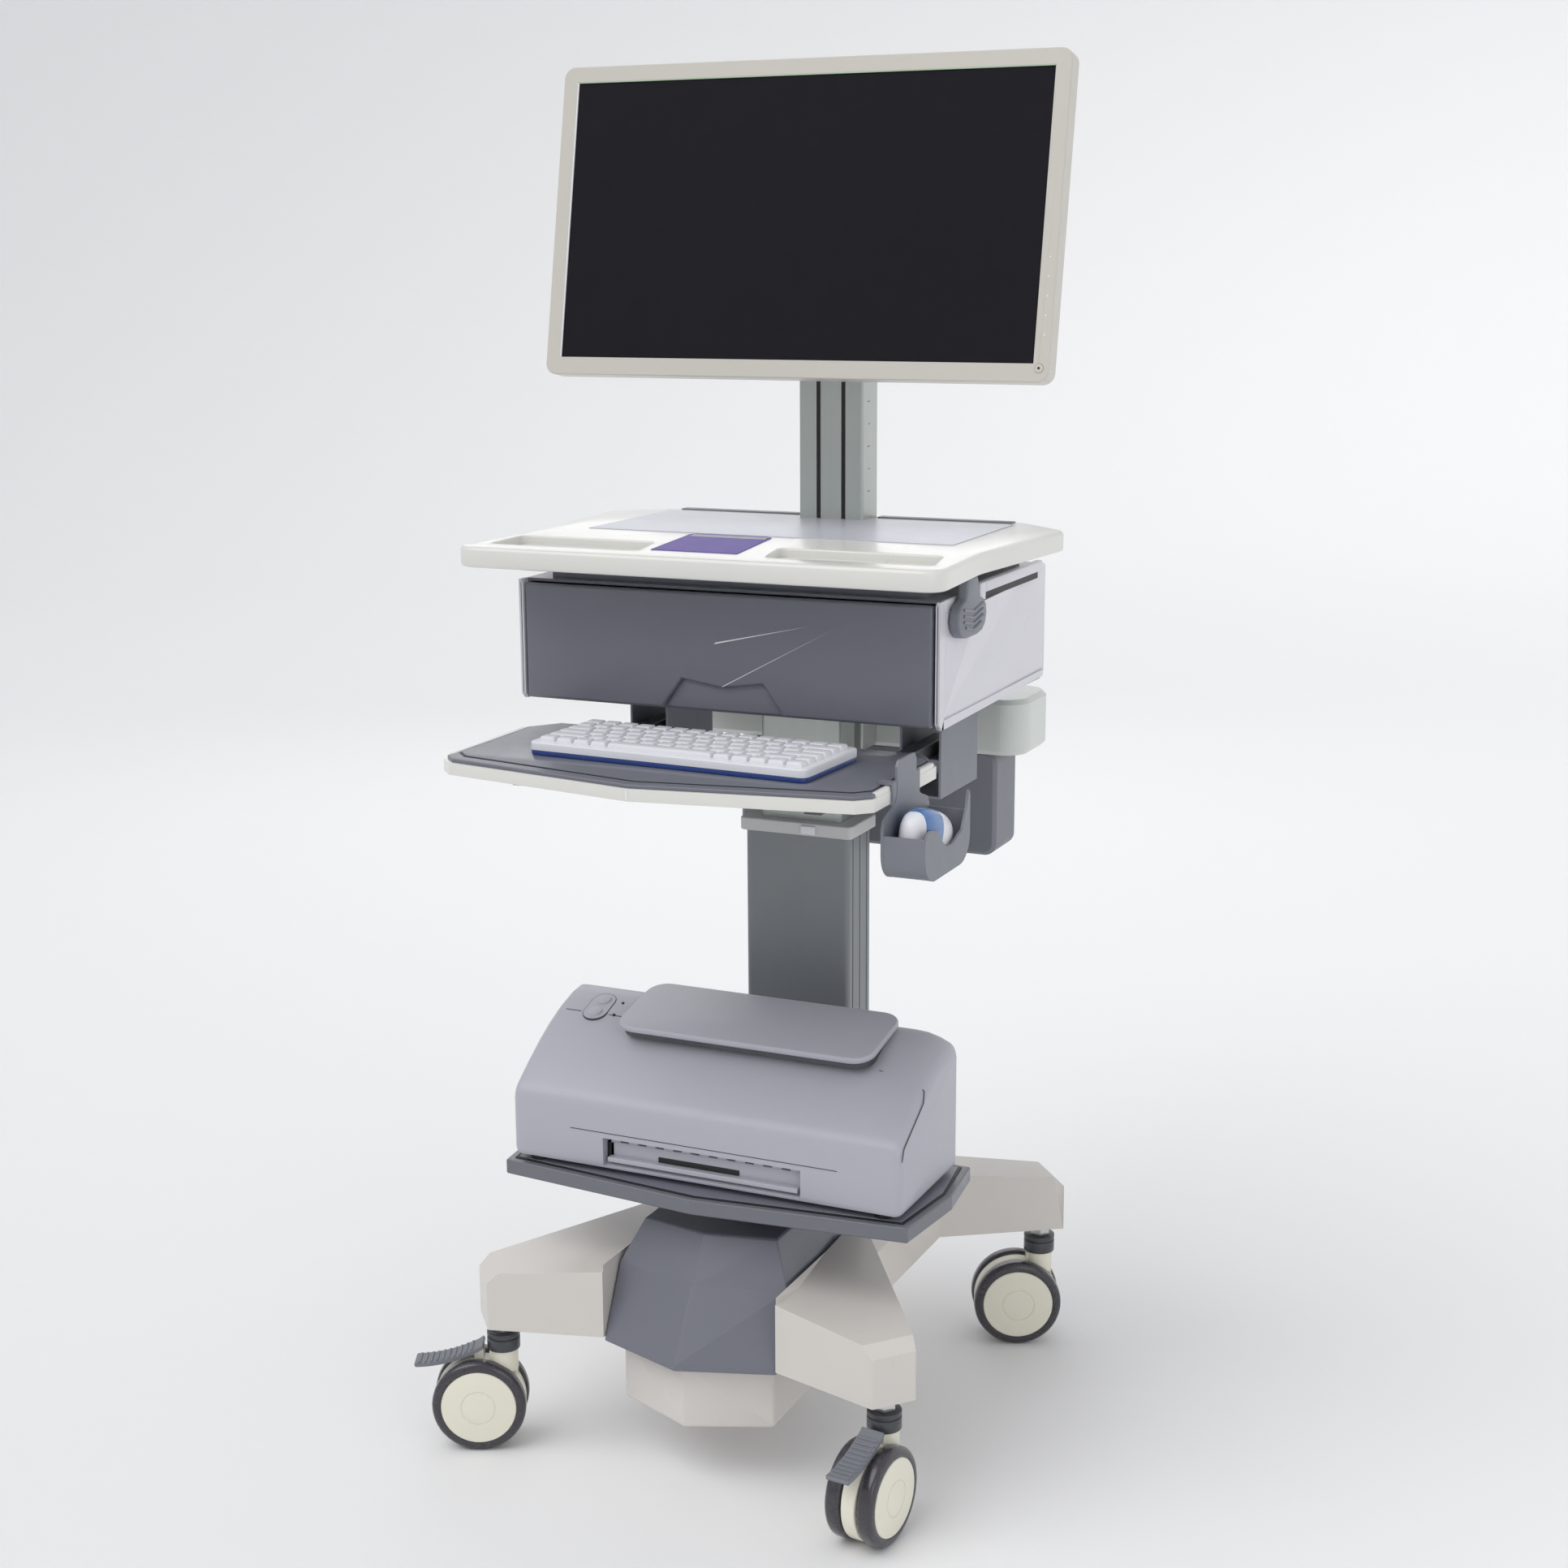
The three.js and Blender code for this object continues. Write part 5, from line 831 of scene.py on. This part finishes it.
def make_work_surface():
    """A waisted plate with two pen recesses, and what is laid on it."""
    recess_front, recess_rear, recess_depth = -340, -268, 8.8
    bm = bmesh.new()
    plate(bm, both_sides([(262, -374), (251, -236), (269, -28), (205, 26)]), TOP_UNDERSIDE, REST)
    for low, high, radius, steps in ((-400, -300, 22, 6), (-300, 100, 12, 4)):
        upright = [e for e in bm.edges if abs(e.verts[0].co.z - e.verts[1].co.z) > 1]
        soften(bm, radius, steps, [e for e in upright if low < e.verts[0].co.y < high])
    upper = [e for e in bm.edges if min(v.co.z for v in e.verts) > REST - 0.1]
    soften(bm, 4.5, 3, upper)
    lower = [e for e in bm.edges if max(v.co.z for v in e.verts) < TOP_UNDERSIDE + 0.1]
    soften(bm, 3.0, 2, lower)
    for y in (recess_front, recess_rear):
        cut_along(bm, (0, y, 0), (0, 1, 0))
    for x, rear_x in ((-239, -241), (-70, -86), (68, 52), (240, 224)):
        cut_along(bm, (x, recess_front, 0), (recess_rear - recess_front, x - rear_x, 0))
    for span in ((-230, -90), (70, 225)):
        floors = faces_within(bm, span, (recess_front + 1, recess_rear - 1), (REST - 0.5, REST + 1))
        bmesh.ops.inset_region(bm, faces=floors, thickness=HAIR, depth=-recess_depth)
        pocket = floors[0]
        uprights = [e for v in pocket.verts for e in v.link_edges if e not in pocket.edges[:]]
        soften(bm, 9, 4, uprights)
    rims = [e for e in bm.edges if e.calc_face_angle(0) > 1.2 and min(v.co.z for v in e.verts) > REST - 0.2]
    soften(bm, 2.0, 3, rims)
    finish_piece("worktop", bm, "lift", "top_white", ("work_surface",))
    bm = bmesh.new()
    plate(bm, [(-206, -190), (204, -190), (202, -4), (-204, -4)], REST, REST + SHEET)
    finish_piece("writing_sheet", bm, "lift", "clear_sheet")
    bm = bmesh.new()
    label = [(-60, -330), (34, -330), (12, -202), (4, -196), (-76, -196), (-80, -204)]
    plate(bm, label, REST, REST + SHEET)
    finish_piece("label", bm, "lift", "label_purple")
    bm = bmesh.new()
    plate(bm, [(-71, -222), (13, -222), (9, -204), (-75, -204)], REST, REST + 1.3 * SHEET)
    finish_piece("label_band", bm, "lift", "bracket_grey")
    bm = bmesh.new()
    for x in ((-196, -42), (42, 196)):
        block(bm, x, (9, 22), (REST - 1, REST + 1.4))
    soften(bm, 0.6, 2)
    finish_piece("rear_strip", bm, "lift", "bracket_grey")


make_work_surface()


# ---- Drawer front ----
def make_drawer_front():
    """The panel with its notch, the darker grip set back in the notch, and two raised creases in a near-white
    finish that is painted highlight.
    """
    low, high = millimetres("drawer_front")
    bottom, top, half, thick = low.z - 9.5, high.z - 1, high.x, 12
    back = low.y + thick
    notch = [(67, bottom), (45, bottom + 31), (0, bottom + 24), (-45, bottom + 31), (-67, bottom)]
    bm = bmesh.new()
    plate(bm, list(reversed(notch)) + [(half, bottom), (half, top), (-half, top), (-half, bottom)], 0, thick)
    soften(bm, 3.0, 3)
    onto_front(bm, back)
    finish_piece("drawer_panel", bm, "drawer", "slate", ("drawer_front",))
    bm = bmesh.new()
    grip = [(66, bottom + 1), (44, bottom + 33), (0, bottom + 26), (-44, bottom + 33), (-66, bottom + 1)]
    plate(bm, grip, 0, thick / 2)
    soften(bm, 0.8, 2)
    onto_front(bm, back)
    finish_piece("drawer_grip", bm, "drawer", "slate")
    # Painted highlight: the creases get a near-white finish that stands in for light caught along their edges on
    # the slate panel.
    bm = bmesh.new()
    for (x, z), (end_x, end_z) in (((-8, 862), (96, 886)), ((0, bottom + 25), (128, 888))):
        plate(bm, [(x, z), (end_x, end_z), (x + 2, z + 1.9)], thick - 0.4, thick + 0.5)
    onto_front(bm, back)
    finish_piece("drawer_crease_highlights", bm, "drawer", "painted_highlight_white")


make_drawer_front()


# ---- Cabinet sides, rails and height lever ----
RAIL_LOW, RAIL_HIGH, RAIL_REAR = 912, 923, -8


def make_side_panel(name, side):
    """A side panel with its front and lower ledges, and its faceted face."""
    low, high = millimetres(f"side_panel_{name}")
    front, rear, bottom, top = low.y, high.y, low.z, high.z
    root = low.x if side > 0 else high.x
    outline = [
        (front, bottom + 6), (front + 6, bottom), (rear - 8, bottom + 4), (rear, bottom + 12),
        (rear, top - 3), (rear - 3, top), (front + 3, top), (front, top - 3),
    ]
    front_ledge = [
        (front, bottom + 6), (front + 6, bottom), (front + 12, bottom), (front + 12, top), (front, top),
    ]
    lower_ledge = [
        (front + 6, bottom), (rear - 8, bottom + 4), (rear - 4, bottom + 11), (front + 12, bottom + 9),
    ]
    bm = bmesh.new()
    side_plate(bm, outline, *sorted((root, root + side * 3.6)))
    soften(bm, 0.8, 2)
    for ledge in (front_ledge, lower_ledge):
        side_plate(bm, ledge, *sorted((root + side * 2, root + side * 5)))
    node = f"side_panel_{name}"
    finish_piece(f"side_panel_body_{name}", bm, "lift", "panel_white", (node,))
    thickness_at = {
        (front + 14, bottom + 11): 3.7, (rear - 5, bottom + 13): 3.7, (rear - 5, top - 40): 5.0,
        (rear - 90, top - 12): 3.7, (front + 96, top - 12): 11.0, (front + 14, top - 12): 3.7,
    }
    bm = bmesh.new()
    face = plate(bm, list(thickness_at), root + side * 2, root + side * 3)
    corners = [min(face.verts, key=lambda vert: math.dist(vert.co.xy, spot)) for spot in thickness_at]
    for corner, thickness in zip(corners, thickness_at.values()):
        corner.co.z = root + side * thickness
    bmesh.ops.connect_verts(bm, verts=[corners[0], corners[2]])
    bmesh.ops.connect_verts(bm, verts=[corners[0], corners[3]])
    bmesh.ops.connect_verts(bm, verts=[corners[0], corners[4]])
    bm.transform(ALONG_X)
    finish_piece(f"side_panel_facets_{name}", bm, "lift", "panel_white", smooth=False)


def make_side_rail(name, side):
    """The rail over a side panel and the dark slot under it."""
    bm = bmesh.new()
    across = sorted((side * 229, side * 237))
    block(bm, across, (-184, RAIL_REAR), (RAIL_LOW, RAIL_HIGH))
    block(bm, across, (-200, -184), (RAIL_LOW - 7, RAIL_HIGH))
    soften(bm, 1.6, 3)
    finish_piece(f"side_rail_{name}", bm, "lift", "panel_white")
    bm = bmesh.new()
    block(bm, sorted((side * 229, side * 232.4)), (-183, RAIL_REAR - 2), (RAIL_LOW - 8, RAIL_LOW + 0.5))
    finish_piece(f"side_slot_{name}", bm, "lift", "black_rubber", bevel=0.3)


def make_lever():
    """A paddle hanging from its lug, with four pairs of raised strokes on its face."""
    low, high = millimetres("lift_lever")
    middle = (low.y + high.y) / 2
    face = high.x - 1
    half = [
        (13, high.z - 1.8), (16, 926), (16, 921), (19, 914), (31, 910), (38, 904), (40, 894), (36, 884),
        (27, 878), (14, low.z),
    ]
    bm = bmesh.new()
    side_plate(bm, both_sides(half, middle), low.x, face)
    soften(bm, 2.6, 3)
    for z, reach in ((904, 27), (898, 27), (892, 27), (886, 22)):
        for side in (-1, 1):
            rod(bm, 1.7, (face, middle, z - 3.5), (face, middle + side * reach, z + 1.5), 10)
    finish_piece("height_lever", bm, "lever", "bracket_grey", ("lift_lever",))


for panel, outward in (("left", -1), ("right", 1)):
    make_side_panel(panel, outward)
    make_side_rail(panel, outward)
make_lever()


# ---- Printer and its shelf ----
PRINTER_LOW, PRINTER_HIGH = millimetres("printer_body")
PRINTER_HALF, PRINTER_FACE = PRINTER_HIGH.x, PRINTER_LOW.y
LID_SLOPE, KEY_SLOPE = math.atan2(15, 119), math.radians(18)
MOUTH_HALF, MOUTH_LOW, MOUTH_HIGH = 112, 316, 347


def printer_profile():
    """The side view, in y and z, from the rear foot forwards and over the top."""
    face, rear, foot, top = PRINTER_FACE, PRINTER_HIGH.y, PRINTER_LOW.z + 5, PRINTER_HIGH.z
    return [
        (rear, foot), (face + 8, foot), (face + 2, foot + 2.7), (face, foot + 8.7), (face, foot + 63.7),
        (face + 1.4, foot + 70.7), (face + 5, foot + 76.7), (face + 11, foot + 81.7), (face + 32, top - 50.8),
        (face + 57, top - 34.3), (face + 80, top - 21.3), (rear - 56, top - 10.3), (rear - 31, top - 2.3),
        (rear - 14, top), (rear - 4, top - 3.3), (rear, top - 13.3),
    ]


def make_printer_case():
    """The case, sloping down a little at its right end, with the mouth sunk into its front."""
    slope_start, slope_low = 176, 385
    bm = bmesh.new()
    side_plate(bm, printer_profile(), -PRINTER_HALF, PRINTER_HALF)
    ends = [e for e in bm.edges if abs(e.verts[0].co.x - e.verts[1].co.x) < 0.01]
    soften(bm, 9, 5, ends)
    for x in (-190, 175, 188, 201):
        cut_along(bm, (x, 0, 0), (1, 0, 0))
    for vert in bm.verts:
        if vert.co.x > slope_start and vert.co.z > slope_low:
            outward = (vert.co.x - slope_start) / (PRINTER_HALF - slope_start)
            vert.co.z -= 15 * outward ** 2 * (vert.co.z - slope_low) / 74
    for z in (MOUTH_LOW, MOUTH_HIGH):
        cut_along(bm, (0, 0, z), (0, 0, 1))
    for x in (-MOUTH_HALF, MOUTH_HALF):
        cut_along(bm, (x, 0, 0), (1, 0, 0))
    bmesh.ops.recalc_face_normals(bm, faces=bm.faces[:])
    face_range = (PRINTER_FACE - 1, PRINTER_FACE + 1)
    mouth = faces_within(bm, (-MOUTH_HALF, MOUTH_HALF), face_range, (MOUTH_LOW, MOUTH_HIGH))
    bmesh.ops.inset_region(bm, faces=mouth, thickness=0.4, depth=-38)
    finish_piece("printer_case", bm, "base", "printer_silver", ("printer_body",))


def make_printer_mouth():
    """The dark depth of the mouth, and the pale tongue in it with its row of fingers."""
    shelf, step, back = PRINTER_FACE + 2, PRINTER_FACE + 10, PRINTER_FACE + 22
    half, fingers, finger_pitch = 108, 11, 20.4
    bm = bmesh.new()
    block(bm, (1 - MOUTH_HALF, MOUTH_HALF - 1), (back, back + 15.6), (320.6, MOUTH_HIGH - 0.6))
    block(bm, (-52, 40), (step - 1, back + 1), (326.5, 332))
    block(bm, (-MOUTH_HALF, -104), (step, back + 1), (321, 340))
    finish_piece("printer_mouth", bm, "base", "black_rubber", bevel=0.3)
    bm = bmesh.new()
    block(bm, (-half, half), (shelf, back), (320.8, 326))
    block(bm, (-half, half), (step, back), (325, 341))
    for k in range(fingers):
        x = (k - (fingers - 1) / 2) * finger_pitch
        block(bm, (x - 5.5, x + 5.5), (step, back), (340, 346.3))
    finish_piece("printer_tongue", bm, "base", "printer_silver", bevel=1.0)


def make_printer_seams():
    side = PRINTER_HALF + 0.1
    bm = bmesh.new()
    paths = (
        (
            (side, -357, 372), (side, -352, 384), (side, -300, 414), (217, -290, 423), (207, -286, 428),
            (166, -284, 436),
        ),
        ((-218, -262, 442), (-206, -262, 446), (-189, -262, 446)),
        ((-155, -262, 446), (-130, -262, 446)),
    )
    for path in paths:
        for start, end in zip(path, path[1:]):
            rod(bm, 0.55, start, end, 8)
    block(bm, (-150, 152), (PRINTER_FACE - 0.3, PRINTER_FACE + 1), (352.4, 353.2))
    finish_piece("printer_seams", bm, "base", "dark_steel")
    bm = bmesh.new()
    for x in (-196, 196):
        for y in (-345, -215):
            rod(bm, 9, (x, y, 306.2), (x, y, 311.6), 24)
    finish_piece("printer_feet", bm, "base", "black_rubber", bevel=0.6)


def make_printer_lid():
    """A lid whose panel rises towards the rear, over a dark slab that is painted shadow in the gap under its front
    edge, drawn from its hinge forwards.
    """
    lean = Matrix.Translation((0, -207, 457.5)) @ Matrix.Rotation(LID_SLOPE, 4, "X")
    front, rear = -98, 4
    # Painted shadow: a dark slab under the lid stands in for the shade in the gap below its front edge.
    bm = bmesh.new()
    plate(bm, rounded_outline((-124, 158), (-90, -1), 16), -8.0, 0.4)
    finish_piece("printer_lid_painted_shadow", bm, "lid", "dark_steel", ("printer_lid",), lean)
    bm = bmesh.new()
    plate(bm, rounded_outline((-128, 162), (front, rear), 22), -0.5, 6.5)
    soften(bm, 2.6, 4)
    for vert in bm.verts:
        vert.co.z += 7 * (vert.co.y - front) / (rear - front)
    finish_piece("printer_lid_panel", bm, "lid", "printer_silver", (), lean)


def make_printer_keys():
    """Two round keys in a long field with a dark line round it, and a lamp beside each."""
    lean = Matrix.Translation((0, -240, 453.6)) @ Matrix.Rotation(KEY_SLOPE, 4, "X")
    key_x, lamp_x = -172, -149
    bm = bmesh.new()
    plate(bm, rounded_outline((-186, -158), (-36, 12), 13.9), -3, 0.6)
    finish_piece("printer_key_line", bm, "base", "dark_steel", (), lean)
    bm = bmesh.new()
    plate(bm, rounded_outline((-185.2, -158.8), (-35.2, 11.2), 13.1), -3, 0.9)
    finish_piece("printer_key_field", bm, "base", "printer_silver", (), lean)
    keys = {"printer_power": -1, "printer_feed": -23}
    for body, y in keys.items():
        bm = bmesh.new()
        rod(bm, 9, (key_x, y, -2), (key_x, y, 1.4), 32)
        rod(bm, 7.6, (key_x, y, 0), (key_x, y, 2.4), 32)
        soften(bm, 0.4, 2)
        node = f"{body}_button"
        finish_piece(f"{body}_key", bm, body, "printer_silver", (node,), lean)
    bm = bmesh.new()
    for y in keys.values():
        rod(bm, 1.6, (lamp_x, y, -0.6), (lamp_x, y, 1.0), 16)
    finish_piece("printer_lamps", bm, "base", "black_rubber", (), lean)


SHELF_LOW, SHELF_HIGH = millimetres("printer_shelf")


def shelf_plan(inset):
    """The shelf's outline in x and y as far back as the printer, drawn in by the inset."""
    half, front = SHELF_HIGH.x - inset, SHELF_LOW.y + inset
    return [(0, front)] + both_sides([(half - 10, front + 22), (half, -264), (half - 10, -182 - inset)])


def make_shelf_top():
    top = SHELF_HIGH.z
    bm = bmesh.new()
    plate(bm, shelf_plan(7), top - 0.2, top + 1)
    soften(bm, 0.4, 2)
    finish_piece("shelf_rim_line", bm, "base", "black_rubber")
    bm = bmesh.new()
    plate(bm, shelf_plan(10), top, top + 1.8)
    soften(bm, 0.6, 2)
    finish_piece("shelf_mat", bm, "base", "slate")


# ---- Base hood ----
def hood_plan(half, crease, corner, rear):
    return [(0, crease), (half, corner), (half, rear), (-half, rear), (-half, corner)]


def make_hood():
    """A five-cornered foot, drawn up level by level and narrowed, with a crease down its front."""
    levels = (  # height, half width, y of the crease, of the front corners and of the rear
        (136, 98, -425, -391, -136), (142, 98, -423, -389, -136), (212, 96, -380, -357, -136),
        (256, 76, -353, -337, -136), (258, 74, -351, -335, -138),
    )
    bm = bmesh.new()
    height, *plan = levels[0]
    corners = hood_plan(*plan)
    foot = bm.faces.new([bm.verts.new((x, y, height)) for x, y in corners])
    face = foot
    for height, *plan in levels[1:]:
        raised = bmesh.ops.extrude_face_region(bm, geom=[face])["geom"]
        if face is not foot:
            bmesh.ops.delete(bm, geom=[face], context="FACES_ONLY")
        face = next(item for item in raised if isinstance(item, bmesh.types.BMFace))
        moved_to = dict(zip(corners, hood_plan(*plan)))
        for vert in face.verts:
            vert.co = (*moved_to[vert.co.x, vert.co.y], height)
        corners = hood_plan(*plan)
    finish_piece("hood_shell", bm, "base", "slate", ("base_hood",), smooth=False, bevel=1.6)


make_printer_case()
make_printer_mouth()
make_printer_seams()
make_printer_lid()
make_printer_keys()
make_shelf_top()
make_hood()


# ---- Monitor column ----
def make_post_details():
    """The two dark slots in the column's front, and the scale on its right side."""
    low, high = millimetres("monitor_column")
    bm = bmesh.new()
    for x in (-14.5, 14.5):
        block(bm, (x - 2.3, x + 2.3), (low.y + 0.6, low.y + 6.6), (REST + 2, high.z - 1))
    finish_piece("column_slots", bm, "lift", "black_rubber")
    bm = bmesh.new()
    for k in range(12):
        z = REST + 30 + k * 24
        block(bm, (high.x - 0.2, high.x + 0.2), (-6 if k % 2 else -9, -2), (z, z + 1))
    finish_piece("column_scale", bm, "lift", "dark_steel")


make_post_details()


# ---- Monitor ----
def make_monitor_details():
    """A pale lip and a green line at the screen's edge, dimples down the bezel, a dot on the power key."""
    lean = Matrix.Translation((0, -50, 1263.5)) @ Matrix.Rotation(math.radians(-10.6), 4, "X")
    face, screen_left, screen_right, screen_top = -62.1, -266, 265.5, 146.4
    bm = bmesh.new()
    block(bm, (screen_left, screen_left + 1.8), (face, face + 1.6), (-144, screen_top - 0.4))
    finish_piece("screen_lip", bm, "monitor", "key_white", (), lean, bevel=0.3)
    bm = bmesh.new()
    block(bm, (screen_left + 2, screen_right), (face, face + 1.6), (screen_top - 1.2, screen_top))
    finish_piece("screen_top_line", bm, "monitor", "lip_green", (), lean)
    bm = bmesh.new()
    for k in range(5):
        z = -40 - 19 * k
        rod(bm, 0.9, (275, face - 0.1, z), (275, face + 0.5, z), 16)
    finish_piece("bezel_dimples", bm, "monitor", "key_white", (), lean)
    bm = bmesh.new()
    rod(bm, 1.2, (272, face - 0.8, -148.5), (272, face - 0.2, -148.5), 16)
    finish_piece("power_dot", bm, "monitor_button", "black_rubber", (), lean)


def make_collar_catch():
    bm = bmesh.new()
    block(bm, (8, 25), (-123.2, -120), (630, 639))
    soften(bm, 1, 2)
    finish_piece("collar_catch", bm, "base", "key_white")


make_monitor_details()
make_collar_catch()


# ---- Soft edges of the CAD nodes, in millimetres ----
BEVELS = {
    "base_frame": 2.5,
    "base_hood": 3.0,
    "counterweight_box": 2.0,
    "work_surface": 2.0,
    "lower_column": 0.8,
    "column_collar": 1.0,
    "inner_column": 1.0,
    "monitor_column": 0.8,
    "rear_handle": 3.0,
    "power_box": 2.0,
    "side_panel_left": 1.0,
    "side_panel_right": 1.0,
    "keyboard_bracket_left": 1.0,
    "keyboard_bracket_right": 1.0,
    "monitor_frame": 1.2,
    "printer_shelf": 1.2,
}
for node in frame["nodes"]:
    finish_node(node, BEVELS.get(node, 0.0))
